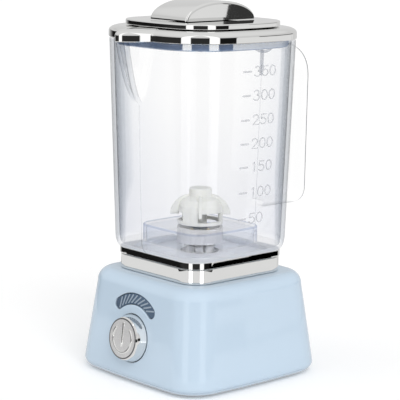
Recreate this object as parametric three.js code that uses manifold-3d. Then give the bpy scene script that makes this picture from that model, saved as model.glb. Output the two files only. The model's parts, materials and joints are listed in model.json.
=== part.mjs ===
// Toy blender: a battery base with a push button and a lit arc, a clear square jug
// with a spout and a loop handle, a plastic agitator on a clear plinth, and a plated lid.
// Units are millimetres, Z is up. The button and the spout face -Y, the handle +Y.
import * as THREE from 'three';
import { mergeVertices } from 'three/addons/utils/BufferGeometryUtils.js';
import Module from 'manifold-3d';

const wasm = await Module();
wasm.setup();

// Clearances and stock sizes shared by the whole object
const seatGap = 0.3; // left between two pieces that touch
const overrun = 2; // how far a cutting shape runs past what it cuts
const wall = 2.2; // moulded walls of the base
const roundSteps = 16; // facets round a turned piece
const smallRoundSteps = 8; // facets round a small turned piece
const screwSteps = 6; // facets round a screw
const sideSteps = 3; // facets along a bowed side
const cornerSteps = 4; // facets round a corner
const largeCornerSteps = 5; // facets round a corner of the base, jug or lid
const barEdgeSteps = 1; // facets round an edge of the handle
const arcSteps = 6; // facets along an arc of an extruded shape
const quarter = Math.PI / 2;

// Feet
const footRadius = 8.6;
const footHeight = 1;
const footBevel = 0.4;
const footInset = 20; // from the widest line of a side to the middle of a foot

// Base housing
const coverBottom = footHeight + seatGap;
const coverThickness = 2;
const coverSteps = 2; // levels of the cover's curved edge
const housingBottom = coverBottom + coverThickness + seatGap;
const bottomRound = 4; // radius of the turned-under lower edge
const baseBossMargin = 8.15; // from a screw boss to the widest line of a side
const baseTaper = 0.1225; // how far a side leans in for each unit of height
const baseSideRadius = 500; // the sides are faintly bowed
const baseCornerRadius = 15.5;
const shoulderRound = 6.5;
const shoulderSteps = 3;
const deckOpeningHalf = 22.2; // opening under the collar, for the motor and gears
const deckOpeningCorner = 8;

// Screws and their bosses
const screwHeadRadius = 2.6;
const screwHeadHeight = 1.4;
const screwShankRadius = 1.2;
const screwLength = 9;
const screwBossRadius = 3.4;
const screwBossGap = 0.6; // between a boss and the battery bay
const screwBossY = 12;
const locatingRibHeight = 2.2; // rib on the cover that stands inside the housing
const locatingRibThickness = 1.4;

// Battery bay for two AA cells lying along X
const cellRadius = 7.25;
const cellLength = 50.5;
const cellNubRadius = 2.75;
const cellNubLength = 1.3;
const cellSpacing = 14.9;
const bayClearance = 0.4;
const bayWall = 1.3;
const contactThickness = 0.5;
const contactBumpHeight = 1.4;
const contactBumpRadius = 3;
const contactBumpTipRadius = 1.6;
const contactHeight = 12;
const singleContactWidth = 12;
const doorThickness = 1.8;
const tongueHalfWidth = 5; // tongue of the battery door that takes its screw
const tongueLength = 7.4;
const doorBossHeight = 8;

// Gear deck under the collar
const deckThickness = 1.5;
const deckHalf = 27.4;
const deckCornerRadius = 8.5;
const deckScrewOffset = 22.3;
const deckBossRadius = 3;
const deckBossLength = 6;
const deckScrewLength = 6;
const hubRadius = 5;
const hubLength = 4.8;

// Motor and gears
const gearModule = 0.7;
const wheelTeeth = 30;
const pinionTeeth = 10;
const pressureAngle = (25 * Math.PI) / 180;
const backlash = 0.3;
const addendumShare = 0.85; // tooth height above the pitch circle, in modules
const dedendumShare = 1.2; // tooth depth below the pitch circle, in modules
const gearThickness = 2;
const gearHubRadius = 3.6;
const wheelRim = 1.3; // material left inside the roots of the wheel's teeth
const wheelRecess = 0.5; // depth of the recess between the wheel's rim and hub
const motorRadius = 10.2;
const motorFlatHalf = 7.7;
const motorLength = 20;
const motorCapLength = 4.7;
const motorNoseRadius = 3;
const motorNoseHeight = 1.2;
const motorShaftRadius = 1;
const motorShaftDepth = 9;
const driveShaftRadius = 1.5;
const bushRadius = 3;
const retainerRadius = 3;
const retainerThickness = 1;

// Collar on the base
const collarHalf = 29.9;
const collarSideRadius = 300;
const collarCornerRadius = 9.8;
const collarHeight = 6.8;
const collarWall = 2;
const collarEdge = 0.5; // small bevel round the top edge
const plateauHalf = 24.2; // raised seat that centres the jug
const plateauHeight = 1.8;
const plateauCornerRadius = 7;
const couplingHoleRadius = 9.4;

// Couplings between base and jug
const couplingRadius = 6.6;
const couplingHubHeight = 4.5;
const dogCount = 4;
const dogHeight = 3.2;
const dogInnerRadius = 3;
const dogShare = 0.36; // part of one pitch that a dog takes up
const dogSteps = 2;

// Ring under the jug
const ringHalf = 30.2;
const ringInnerHalf = 25;
const ringInnerCorner = 8;
const ringHeight = 3;

// Jug
const jugWall = 2;
const jugFloor = 2.2;
const jugFootHalf = 30.8;
const jugFootCorner = 10.5;
const jugFootSideRadius = 220;
const jugLowCorner = 24;
const jugTopHalf = 39.5;
const jugSpread = 3; // how far a side leans out from the rounded edge to the rim
const jugTopCorner = 26;
const jugSideRadius = 125;
const jugRound = 7; // height of the rounded lower edge
const jugHeight = 100; // from the foot of the jug to its rim
const jugFootShares = [0, 0.12, 0.45, 1]; // levels of the rounded edge
const wellRadius = 9;
const wellHeight = 4;
const wellWall = 1.6;

// Spout, pressed out of the front wall
const spoutDrop = 28; // how far the spout runs down from the rim
const spoutReach = 12.4;
const spoutHalfWidth = 10.4;
const spoutShares = [0, 0.08, 0.3, 0.6, 1]; // levels of the spout, from its apex up
const spoutReachPower = 0.42;
const spoutWidthPower = 0.5;
const spoutRidgePower = 1.6;
const spoutSteps = 12; // facets across the front, where the spout is

// Loop handle
const handleWidth = 10;
const handleThickness = 3.2;
const handleEdge = 1.1;
const handleReach = 65.9; // from the jug's axis to the middle of the upright bar
const handleLowReach = 65.2;
const handleRootDrop = 3.4; // below the rim
const handleShoulderDrop = 6.2;
const handleCornerDrop = 9.6; // where the lines of the upper bend would meet
const handleShoulderReach = 53;
const handleBendDrop = 22;
const handleLowHeight = 17; // lower arm above the jug's foot
const handleLowBend = 6;
const handleSteps = 18;

// Clear plinth over the well
const plinthHalf = 22.2;
const plinthSideRadius = 200;
const plinthCornerRadius = 8;
const plinthHeight = 8.4;
const plinthWall = 1.5;
const plinthTubeRadius = 11;
const plinthTubeHoleRadius = 9.5;
const plinthHoleRadius = 6;
const plinthEdge = 0.9;

// Agitator, its shaft, bush and seal
const jugBushRadius = 3;
const jugBushFlangeRadius = 5;
const jugBushFlange = 1.2;
const sealRadius = 3.6;
const sealHeight = 1.5;
const agitatorRingRadius = 10.9;
const agitatorRingWall = 1.6;
const agitatorRingHeight = 1.6;
const agitatorLift = 0.5; // running gap over the plinth
const legHeight = 4.2;
const legCount = 3;
const legHalfAngle = (22 * Math.PI) / 180;
const firstLegAngle = (-70 * Math.PI) / 180;
const skirtHeight = 3;
const domeRadius = 8.6;
const domeHeight = 4;
const capRadius = 5.4;
const capHeight = 4.4;
const capEdge = 1;
const postRadius = 3.2;
const vaneCount = 4;
const vaneReach = 14.4;
const vaneHeight = 9.5;
const vaneThickness = 1.6;
const vaneSteps = 8;
const firstVaneAngle = (48 * Math.PI) / 180;

// Lid
const lidOverhang = 0.3; // how far the lid stands out over the jug
const lidShelf = 7.5; // from the lid's side to the tier
const lidSkirtHeight = 2.8;
const lidRound = 2.6;
const lidRoundWidth = 5;
const lidRoundShares = [0.35, 0.65, 0.88, 1]; // levels of the rounded edge
const lidCrown = 0.2; // the top rises this much more towards the middle
const lidWall = 1.8;
const plugClearance = 1.1; // between the plug and the inside of the jug
const plugDrop = 3.2; // how far the plug hangs into the jug
const plugWall = 1.6;
const plugRibCount = 12;
const plugRibDepth = 0.5;
const plugRibWidth = 1;
const tierCornerRadius = 20;
const tierSideRadius = 110;
const tierHeight = 2.4;
const tierEdge = 0.6;
const gripHalfX = 12.9;
const gripHalfY = 21.8;
const gripHeight = 8.9;
const gripEdge = 0.7;
const gripSteps = 12;
const gripEdgeSteps = 2;

// Push button on the front of the base
const buttonRise = 2.3; // from the top of the battery bay to the middle of the button
const buttonFrontRadius = 10.1;
const buttonFaceRadius = 9.4;
const buttonRootRadius = 11.2;
const buttonReach = 5.4;
const buttonBevel = 0.9;
const buttonFlangeRadius = 13.6;
const buttonFlange = 1.3;
const buttonFlangeGap = 0.8; // clears the bowed wall behind the face
const buttonShell = 1.8;
const buttonTravel = 2;
const buttonSteps = 28; // facets round the button and its hole
const buttonStemRadius = 2;
const switchHalf = 3;
const switchHeight = 3.5;
const switchStand = 8.9; // top of the switch behind the face
const boardHalfWidth = 19;
const boardLowReach = 10; // from the button's middle to the board's lower edge
const boardHighReach = 20; // and to its upper edge
const boardThickness = 1.6;
const boardPostOffset = 17;
const boardPostRadius = 2.4;
const boardScrewRadius = 0.9;
const boardScrewHead = 1.9;
const boardScrewHeadHeight = 1.2;
const boardScrewLength = 7;
const springRadius = 6;
const springWire = 0.35;
const springTurns = 4;
const springStepsPerTurn = 8;
const springSides = 6;

// Lit arc above the button
const arcRadius = 18.4;
const arcHalfWidth = 2.8;
const arcMargin = 0.1; // from the arc up to where the top edge starts to round over
const arcStart = (-38.5 * Math.PI) / 180; // from straight up, turning to +X
const arcEnd = (40 * Math.PI) / 180;
const arcRecess = 0.45;
const arcFlange = 1.2;
const arcFlangeLip = 1.3;
const lampRadius = 1.5;
const lampLength = 5;
const lampHeight = 17.5;

// Colours and finishes
const finishes = {
  blue: { color: 0xc6dcec, roughness: 0.25, metalness: 0 },
  chrome: { color: 0xd9dcdf, roughness: 0.08, metalness: 1 },
  brushed: { color: 0xc9c8c6, roughness: 0.35, metalness: 1 },
  clear: { color: 0xe3e8ee, roughness: 0.05, metalness: 0, transparent: true, opacity: 0.4 },
  milky: { color: 0xe9ece2, roughness: 0.4, metalness: 0 },
  smoke: { color: 0x33455c, roughness: 0.3, metalness: 0 },
  rubber: { color: 0x6d757d, roughness: 0.8, metalness: 0 },
  steel: { color: 0xb7babd, roughness: 0.3, metalness: 1 },
  brass: { color: 0xb9974f, roughness: 0.35, metalness: 1 },
  white: { color: 0xf1f1ee, roughness: 0.4, metalness: 0 },
  grey: { color: 0x8b9299, roughness: 0.5, metalness: 0 },
  green: { color: 0x2f6b45, roughness: 0.5, metalness: 0 },
};

// Turns a geometry into a solid whose faces point out
function solid(geometry) {
  const bare = geometry.clone();
  bare.deleteAttribute('normal');
  bare.deleteAttribute('uv');
  const merged = mergeVertices(bare);
  const vertProperties = new Float32Array(merged.attributes.position.array);
  const corners = merged.index.array;
  const triangles = [];
  let volume = 0;
  const a = new THREE.Vector3();
  const b = new THREE.Vector3();
  const c = new THREE.Vector3();
  for (let i = 0; i < corners.length; i += 3) {
    const [p, q, r] = [corners[i], corners[i + 1], corners[i + 2]];
    if (p === q || q === r || r === p) continue;
    triangles.push(p, q, r);
    a.fromArray(vertProperties, 3 * p);
    b.fromArray(vertProperties, 3 * q);
    c.fromArray(vertProperties, 3 * r);
    volume += a.dot(b.cross(c));
  }
  if (volume < 0) triangles.reverse();
  const triVerts = new Uint32Array(triangles);
  return new wasm.Manifold(new wasm.Mesh({ numProp: 3, vertProperties, triVerts }));
}

function join(first, ...others) {
  return others.reduce((whole, other) => whole.add(other), first);
}

function cut(first, ...tools) {
  return tools.reduce((whole, tool) => whole.subtract(tool), first);
}

function geometryOf(body) {
  const mesh = body.getMesh();
  const geometry = new THREE.BufferGeometry();
  geometry.setAttribute('position', new THREE.BufferAttribute(mesh.vertProperties, mesh.numProp));
  geometry.setIndex(new THREE.BufferAttribute(mesh.triVerts, 1));
  geometry.computeVertexNormals();
  return geometry;
}

function piece(name, body, finish) {
  const mesh = new THREE.Mesh(geometryOf(body), new THREE.MeshStandardMaterial(finish));
  mesh.name = name;
  return mesh;
}

// An extruded shape standing on the height given
function prism(shape, bottom, top, curveSegments = arcSteps) {
  const options = { depth: top - bottom, bevelEnabled: false, curveSegments };
  return solid(new THREE.ExtrudeGeometry(shape, options).translate(0, 0, bottom));
}

function rectangle(halfX, halfY) {
  const points = [[-halfX, -halfY], [halfX, -halfY], [halfX, halfY], [-halfX, halfY]];
  return new THREE.Shape(points.map(([x, y]) => new THREE.Vector2(x, y)));
}

// Corners of a rectangle whose edges are rounded, going round from +X
function roundedBar(halfX, halfY, radius, steps = barEdgeSteps) {
  const centres = cornersOf(halfX - radius, halfY - radius);
  return centres.flatMap(([x, y], i) => Array.from({ length: steps + 1 }, (unused, step) => {
    const angle = Math.PI + quarter * (i + step / steps);
    return new THREE.Vector2(x + radius * Math.cos(angle), y + radius * Math.sin(angle));
  }));
}

function block(xMin, xMax, yMin, yMax, bottom, top) {
  const shape = rectangle((xMax - xMin) / 2, (yMax - yMin) / 2);
  return prism(shape, bottom, top).translate([(xMin + xMax) / 2, (yMin + yMax) / 2, 0]);
}

// A piece turned about Z from [radius, height] points that start and end on the axis
function turned(points, steps = roundSteps) {
  const profile = points.map(([radius, height]) => new THREE.Vector2(radius, height));
  return solid(new THREE.LatheGeometry(profile, steps).rotateX(quarter));
}

function rod(radius, bottom, top, steps = smallRoundSteps) {
  return turned([[0, bottom], [radius, bottom], [radius, top], [0, top]], steps);
}

function tube(outer, inner, bottom, top, steps = roundSteps) {
  return cut(rod(outer, bottom, top, steps), rod(inner, bottom - overrun, top + overrun, steps));
}

// A square with bowed sides: each side is an arc, and each corner an arc tangent to both
// its sides. The last side, facing -Y, can be given more steps.
function bowedSquare(half, sideRadius, cornerRadius, roundingSteps = cornerSteps,
  frontSteps = sideSteps) {
  const sink = sideRadius - half;
  const reach = sideRadius - cornerRadius;
  const corner = (Math.sqrt(2 * reach * reach - sink * sink) - sink) / 2;
  const sweep = Math.atan2(corner, corner + sink);
  const points = [];
  for (let side = 0; side < 4; side += 1) {
    const turn = side * quarter;
    const place = (x, y, radius, angle) => {
      const local = new THREE.Vector2(x + radius * Math.cos(angle), y + radius * Math.sin(angle));
      points.push(local.rotateAround(new THREE.Vector2(), turn));
    };
    const steps = side === 3 ? frontSteps : sideSteps;
    for (let i = 0; i < steps; i += 1) {
      place(-sink, 0, sideRadius, sweep * ((2 * i) / steps - 1));
    }
    for (let i = 0; i < roundingSteps; i += 1) {
      const angle = sweep + ((quarter - 2 * sweep) * i) / roundingSteps;
      place(corner, corner, cornerRadius, angle);
    }
  }
  return points;
}

function squarePrism(half, sideRadius, cornerRadius, bottom, top) {
  return prism(new THREE.Shape(bowedSquare(half, sideRadius, cornerRadius)), bottom, top);
}

// A solid through closed sections of equal point count, from the lowest to the highest
function loft(sections) {
  const count = sections[0].points.length;
  const positions = [];
  const index = [];
  for (const { points, z } of sections) {
    for (const point of points) positions.push(point.x, point.y, z);
  }
  for (let level = 0; level + 1 < sections.length; level += 1) {
    for (let i = 0; i < count; i += 1) {
      const [a, b] = [level * count + i, level * count + ((i + 1) % count)];
      index.push(a, b, b + count, a, b + count, a + count);
    }
  }
  const capFaces = (level, flip) => {
    const faces = THREE.ShapeUtils.triangulateShape(sections[level].points, []);
    for (const [p, q, r] of faces) {
      const base = level * count;
      index.push(base + p, base + (flip ? r : q), base + (flip ? q : r));
    }
  };
  capFaces(0, true);
  capFaces(sections.length - 1, false);
  const geometry = new THREE.BufferGeometry();
  geometry.setAttribute('position', new THREE.Float32BufferAttribute(positions, 3));
  geometry.setIndex(index);
  return solid(geometry);
}

// Heights that run from low to high in a few equal steps
function stepsBetween(low, high, count) {
  return Array.from({ length: count + 1 }, (unused, i) => low + ((high - low) * i) / count);
}

function screw(shankLength, headRadius = screwHeadRadius, headHeight = screwHeadHeight,
  shankRadius = screwShankRadius) {
  const points = [[0, 0], [headRadius, 0], [headRadius, headHeight], [shankRadius, headHeight],
    [shankRadius, headHeight + shankLength], [0, headHeight + shankLength]];
  return turned(points, screwSteps);
}

function cornersOf(x, y) {
  return [[-x, -y], [x, -y], [x, y], [-x, y]];
}

// Base, sized round the battery bay: the bosses stand beside the bay, the sides outside them, the
// button above it, and the top edge above the lit arc

const bayHalfX = cellLength / 2 + contactBumpHeight + contactThickness + 2 * seatGap;
const bayHalfY = cellSpacing / 2 + cellRadius + bayClearance;
const screwBossX = bayHalfX + bayWall + screwBossGap + screwBossRadius;
const baseHalf = screwBossX + screwBossRadius + baseBossMargin;
const footOffset = baseHalf - footInset;
const cellHeight = coverBottom + doorThickness + bayClearance + cellRadius;
const bayTop = cellHeight + cellRadius + bayClearance;
const buttonHeight = bayTop + bayWall + buttonRise;
const shoulderHeight = buttonHeight + arcRadius + arcHalfWidth + arcMargin;
const housingTop = shoulderHeight + shoulderRound;

function baseHalfAt(z) {
  const straight = bottomRound + coverBottom;
  const lean = Math.max(0, z - straight) * baseTaper;
  const below = Math.max(0, straight - z) / bottomRound;
  return baseHalf - lean - bottomRound * (1 - Math.sqrt(1 - below * below));
}

function baseSection(z, inset) {
  const [side, corner] = [baseSideRadius - inset, baseCornerRadius - inset];
  return { z, points: bowedSquare(baseHalfAt(z) - inset, side, corner, largeCornerSteps) };
}

// Sections of the housing's outside, or of its inside when given the wall's thickness
function baseSections(inset, lowest) {
  const heights = [lowest, housingBottom, coverBottom + bottomRound, shoulderHeight];
  const sections = heights.map((z) => baseSection(z, inset));
  const round = shoulderRound - inset;
  for (const angle of stepsBetween(0, quarter, shoulderSteps).slice(1)) {
    const drawnIn = inset + round * (1 - Math.cos(angle));
    const { points } = baseSection(shoulderHeight, drawnIn);
    sections.push({ z: shoulderHeight + round * Math.sin(angle), points });
  }
  return sections;
}

// The tilted plane of the front face, with its origin at the button and its own Z pointing out
const frontFace = new THREE.Group();
frontFace.position.set(0, -baseHalfAt(buttonHeight), buttonHeight);
frontFace.rotation.x = quarter - Math.atan(baseTaper);
frontFace.updateMatrix();
const boardDepth = switchStand + switchHeight + seatGap;
const buttonInnerTop = buttonReach - buttonShell;
const flangeTop = -wall - buttonFlangeGap;
const stemBottom = -switchStand + seatGap + buttonTravel;
const springBottom = -boardDepth + seatGap;
const springTop = buttonInnerTop - seatGap;

function onFrontFace(body) {
  return body.transform(frontFace.matrix.toArray());
}

function arcShape(halfWidth) {
  const shape = new THREE.Shape();
  const [start, end] = [quarter - arcEnd, quarter - arcStart];
  const endCap = (angle, from) => {
    const [x, y] = [arcRadius * Math.cos(angle), arcRadius * Math.sin(angle)];
    shape.absarc(x, y, halfWidth, from, from + Math.PI, false);
  };
  shape.absarc(0, 0, arcRadius + halfWidth, start, end, false);
  endCap(end, end);
  shape.absarc(0, 0, arcRadius - halfWidth, end, start, true);
  endCap(start, start + Math.PI);
  return shape;
}

function baseHousing() {
  const outside = loft(baseSections(0, housingBottom));
  const inside = loft(baseSections(wall, housingBottom).map((section, i) => (
    i === 0 ? { z: section.z - overrun, points: section.points } : section)));
  const shell = cut(outside, inside);
  const bosses = cornersOf(screwBossX, screwBossY).map(([x, y]) => (
    rod(screwBossRadius, housingBottom + seatGap, housingTop - wall / 2).translate([x, y, 0])));
  const deckBosses = cornersOf(deckScrewOffset, deckScrewOffset).map(([x, y]) => (
    rod(deckBossRadius, housingTop - wall - deckBossLength, housingTop - wall / 2)
      .translate([x, y, 0])));
  const posts = [-boardPostOffset, boardPostOffset].map((x) => (
    onFrontFace(rod(boardPostRadius, -boardDepth + seatGap, -wall / 2).translate([x, 0, 0]))));
  const bores = cornersOf(screwBossX, screwBossY).map(([x, y]) => (
    rod(screwShankRadius + seatGap, housingBottom - overrun, housingBottom + screwLength + overrun)
      .translate([x, y, 0])));
  const deckBores = cornersOf(deckScrewOffset, deckScrewOffset).map(([x, y]) => (
    rod(screwShankRadius + seatGap, housingTop - deckScrewLength, housingTop + overrun)
      .translate([x, y, 0])));
  const boardBores = [-boardPostOffset, boardPostOffset].map((x) => (
    onFrontFace(rod(boardScrewRadius + seatGap, -boardDepth - overrun, -wall - overrun)
      .translate([x, 0, 0]))));
  const deckOpening = squarePrism(deckOpeningHalf, baseSideRadius, deckOpeningCorner,
    housingTop - wall - overrun, housingTop + overrun);
  const buttonHole = onFrontFace(rod(buttonRootRadius + seatGap, -wall - overrun, overrun, buttonSteps));
  const arcSlot = onFrontFace(prism(arcShape(arcHalfWidth), -wall - overrun, overrun));
  return cut(join(shell, ...bosses, ...deckBosses, ...posts), ...bores, ...deckBores, ...boardBores,
    deckOpening, buttonHole, arcSlot);
}

// Battery bay: the places of its door's parts
const coverTop = coverBottom + coverThickness;
const tongueTip = bayHalfY + tongueLength;
const doorScrewY = -(bayHalfY + bayWall + screwBossRadius - seatGap);

function baseCover() {
  const heights = stepsBetween(coverBottom, coverTop, coverSteps);
  const plate = loft(heights.map((z) => baseSection(z, 0)));
  const ribInset = wall + seatGap;
  const ribOutside = loft([coverTop - bayWall, coverTop + locatingRibHeight].map((z) => (
    baseSection(z, ribInset))));
  const ribInside = loft([coverTop - overrun, coverTop + locatingRibHeight + overrun].map((z) => (
    baseSection(z, ribInset + locatingRibThickness))));
  const bay = block(-bayHalfX - bayWall, bayHalfX + bayWall, -bayHalfY - bayWall, bayHalfY + bayWall,
    coverTop - bayWall, bayTop + bayWall);
  const doorBoss = rod(screwBossRadius, coverTop - bayWall, coverTop + doorBossHeight)
    .translate([0, doorScrewY, 0]);
  const hollow = block(-bayHalfX, bayHalfX, -bayHalfY, bayHalfY, coverBottom - overrun, bayTop);
  const tongueSlot = block(-tongueHalfWidth, tongueHalfWidth, -tongueTip, -bayHalfY + overrun,
    coverBottom - overrun, coverBottom + doorThickness + seatGap);
  const doorBore = rod(screwShankRadius + seatGap, coverBottom, coverTop + doorBossHeight - bayWall)
    .translate([0, doorScrewY, 0]);
  const screwHoles = cornersOf(screwBossX, screwBossY).flatMap(([x, y]) => [
    rod(screwShankRadius + seatGap, coverBottom - overrun, coverTop + overrun).translate([x, y, 0]),
    rod(screwHeadRadius + seatGap, coverBottom - overrun, coverBottom + screwHeadHeight)
      .translate([x, y, 0]),
  ]);
  const rib = cut(ribOutside, ribInside);
  return cut(join(plate, rib, bay, doorBoss), hollow, tongueSlot, doorBore, ...screwHoles);
}

function batteryDoor() {
  const panel = block(-bayHalfX + seatGap, bayHalfX - seatGap, -bayHalfY + seatGap, bayHalfY - seatGap,
    coverBottom, coverBottom + doorThickness);
  const tongue = block(-tongueHalfWidth + seatGap, tongueHalfWidth - seatGap, -tongueTip + seatGap,
    -bayHalfY + overrun, coverBottom, coverBottom + doorThickness);
  const shankHole = rod(screwShankRadius + seatGap, coverBottom - overrun,
    coverBottom + doorThickness + overrun);
  const headHole = rod(screwHeadRadius + seatGap, coverBottom - overrun,
    coverBottom + screwHeadHeight - seatGap);
  const holes = join(shankHole, headHole).translate([0, doorScrewY, 0]);
  return cut(join(panel, tongue), holes);
}

// A cell lying along X, with its nub towards +X
function batteryCell() {
  const bodyEnd = cellLength / 2 - cellNubLength;
  const points = [[0, -cellLength / 2], [cellRadius, -cellLength / 2], [cellRadius, bodyEnd],
    [cellNubRadius, bodyEnd], [cellNubRadius, cellLength / 2], [0, cellLength / 2]];
  return turned(points, roundSteps).rotate([0, 90, 0]);
}

// A spring contact plate with a pressed bump for each cell that it touches, facing -X
function contactPlate(width, bumpPlaces) {
  const plateBottom = cellHeight - contactHeight / 2;
  const outer = bayHalfX - seatGap;
  const plate = block(outer - contactThickness, outer, -width / 2, width / 2, plateBottom,
    plateBottom + contactHeight);
  const bump = turned([[0, 0], [contactBumpRadius, 0], [contactBumpTipRadius, contactBumpHeight],
    [0, contactBumpHeight]], smallRoundSteps).rotate([0, -90, 0]);
  const bumps = bumpPlaces.map((y) => bump.translate([outer - contactThickness, y, cellHeight]));
  return join(plate, ...bumps);
}

function foot() {
  return turned([[0, 0], [footRadius - footBevel, 0], [footRadius, footBevel],
    [footRadius, footHeight], [0, footHeight]]);
}

// Drive

const deckBottom = housingTop + seatGap;
const deckTop = deckBottom + deckThickness;
const gearBottom = deckTop + seatGap;
const gearTop = gearBottom + gearThickness;
const gearDistance = (gearModule * (wheelTeeth + pinionTeeth)) / 2;
const motorTop = deckBottom - seatGap;
const hubBottom = deckBottom - hubLength;
const collarBottom = housingTop + seatGap;
const collarTop = collarBottom + collarHeight;
const collarRoof = collarTop - collarWall;
const couplingBottom = gearTop + seatGap;
const couplingTop = couplingBottom + couplingHubHeight;
const shaftTop = couplingTop - seatGap;
const shaftBottom = hubBottom - retainerThickness - 2 * seatGap;
const wheelRecessRadius = (gearModule * wheelTeeth) / 2 - dedendumShare * gearModule - wheelRim;

// Spur gear outline with involute flanks; the middle of one tooth points along +X
function gearShape(teeth) {
  const pitch = (gearModule * teeth) / 2;
  const base = pitch * Math.cos(pressureAngle);
  const tip = pitch + addendumShare * gearModule;
  const root = pitch - dedendumShare * gearModule;
  const involute = (angle) => Math.tan(angle) - angle;
  const pitchHalfAngle = (Math.PI * gearModule / 2 - backlash) / (2 * pitch);
  const halfAngleAt = (radius) => pitchHalfAngle + involute(pressureAngle)
    - involute(Math.acos(Math.min(1, base / radius)));
  const flank = [root, Math.max(base, root), pitch, tip];
  const points = [];
  for (let tooth = 0; tooth < teeth; tooth += 1) {
    const middle = (2 * Math.PI * tooth) / teeth;
    const rising = flank.map((radius) => [radius, middle - halfAngleAt(radius)]);
    const falling = flank.map((radius) => [radius, middle + halfAngleAt(radius)]).reverse();
    for (const [radius, angle] of [...rising, ...falling]) {
      points.push(new THREE.Vector2(radius * Math.cos(angle), radius * Math.sin(angle)));
    }
  }
  return new THREE.Shape(points);
}

function driveWheel() {
  const teeth = prism(gearShape(wheelTeeth), gearBottom, gearTop).rotate([0, 0, 90]);
  const recess = tube(wheelRecessRadius, gearHubRadius, gearTop - wheelRecess, gearTop + overrun);
  const bore = rod(driveShaftRadius + seatGap, gearBottom - overrun, gearTop + overrun);
  return cut(teeth, recess, bore);
}

function motorPinion() {
  const turnToMesh = 270 + 180 / pinionTeeth;
  const teeth = prism(gearShape(pinionTeeth), gearBottom, gearTop).rotate([0, 0, turnToMesh]);
  const bore = rod(motorShaftRadius + seatGap, gearBottom - overrun, gearTop + overrun);
  return cut(teeth, bore).translate([0, gearDistance, 0]);
}

function motorOutline() {
  const flatAngle = Math.asin(motorFlatHalf / motorRadius);
  const shape = new THREE.Shape();
  shape.absarc(0, 0, motorRadius, -flatAngle, flatAngle, false);
  shape.absarc(0, 0, motorRadius, Math.PI - flatAngle, Math.PI + flatAngle, false);
  return shape;
}

function motorCan() {
  const can = prism(motorOutline(), motorTop - motorLength, motorTop);
  const nose = rod(motorNoseRadius, motorTop - overrun, motorTop + seatGap + motorNoseHeight);
  const bore = rod(motorShaftRadius + seatGap, motorTop - motorShaftDepth, motorTop + 2 * overrun);
  return cut(join(can, nose), bore).translate([0, gearDistance, 0]);
}

function motorCap() {
  const top = motorTop - motorLength - seatGap;
  return prism(motorOutline(), top - motorCapLength, top).translate([0, gearDistance, 0]);
}

function motorShaft() {
  const bottom = motorTop - motorShaftDepth + seatGap;
  return rod(motorShaftRadius, bottom, gearTop).translate([0, gearDistance, 0]);
}

function gearDeck() {
  const plate = squarePrism(deckHalf, collarSideRadius, deckCornerRadius, deckBottom, deckTop);
  const hub = rod(hubRadius, hubBottom, deckBottom + deckThickness / 2);
  const bore = rod(bushRadius + seatGap, hubBottom - overrun, deckTop + overrun);
  const noseHole = rod(motorNoseRadius + seatGap, deckBottom - overrun, deckTop + overrun)
    .translate([0, gearDistance, 0]);
  const screwHoles = cornersOf(deckScrewOffset, deckScrewOffset).map(([x, y]) => (
    rod(screwShankRadius + seatGap, deckBottom - overrun, deckTop + overrun).translate([x, y, 0])));
  return cut(join(plate, hub), bore, noseHole, ...screwHoles);
}

function driveBush() {
  return tube(bushRadius, driveShaftRadius + seatGap, hubBottom + seatGap, deckTop, smallRoundSteps);
}

function driveShaft() {
  return rod(driveShaftRadius, shaftBottom, shaftTop);
}

function shaftRetainer() {
  return tube(retainerRadius, driveShaftRadius + seatGap, shaftBottom, shaftBottom + retainerThickness,
    smallRoundSteps);
}

// Dogs of a coupling: blocks between two radii, one for each pitch, from bottom to top
function dogs(bottom, top, turn) {
  const half = (Math.PI * dogShare) / dogCount;
  const one = new THREE.Shape();
  one.absarc(0, 0, couplingRadius, -half, half, false);
  one.absarc(0, 0, dogInnerRadius, half, -half, true);
  const dog = prism(one, bottom, top, dogSteps);
  const pitch = 360 / dogCount;
  return Array.from({ length: dogCount }, (unused, i) => dog.rotate([0, 0, turn + pitch * i]));
}

function driveCoupling() {
  const hub = rod(couplingRadius, couplingBottom, couplingTop, roundSteps);
  const bore = rod(driveShaftRadius + seatGap, couplingBottom - overrun, shaftTop + seatGap);
  return cut(join(hub, ...dogs(couplingTop - overrun, couplingTop + dogHeight, 0)), bore);
}

function baseCollar() {
  const section = (half, corner, z) => ({ z, points: bowedSquare(half, collarSideRadius, corner) });
  const outside = loft([
    section(collarHalf, collarCornerRadius, collarBottom),
    section(collarHalf, collarCornerRadius, collarTop - collarEdge),
    section(collarHalf - collarEdge, collarCornerRadius - collarEdge, collarTop),
  ]);
  const plateau = squarePrism(plateauHalf, collarSideRadius, plateauCornerRadius,
    collarTop - collarWall / 2, collarTop + plateauHeight);
  const inside = squarePrism(collarHalf - collarWall, collarSideRadius, collarCornerRadius - collarWall,
    collarBottom - overrun, collarRoof);
  const hole = rod(couplingHoleRadius, collarBottom, collarTop + 2 * overrun, roundSteps);
  return cut(join(outside, plateau), inside, hole);
}

// Jug

const jugLowHalf = jugTopHalf - jugSpread;
const ringBottom = collarTop + seatGap;
const ringTop = ringBottom + ringHeight;
const jugBottom = ringTop + seatGap;
const jugRim = jugBottom + jugHeight;
const floorTop = jugBottom + jugFloor;
const wellTop = floorTop + wellHeight;
const wellRoof = wellTop - wellWall;
const plinthBottom = floorTop + seatGap;
const plinthTop = plinthBottom + plinthHeight;
const spoutApex = jugRim - spoutDrop;

function jugRing() {
  const outside = squarePrism(ringHalf, collarSideRadius, collarCornerRadius, ringBottom, ringTop);
  const inside = squarePrism(ringInnerHalf, collarSideRadius, ringInnerCorner, ringBottom - overrun,
    ringTop + overrun);
  return cut(outside, inside);
}

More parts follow.
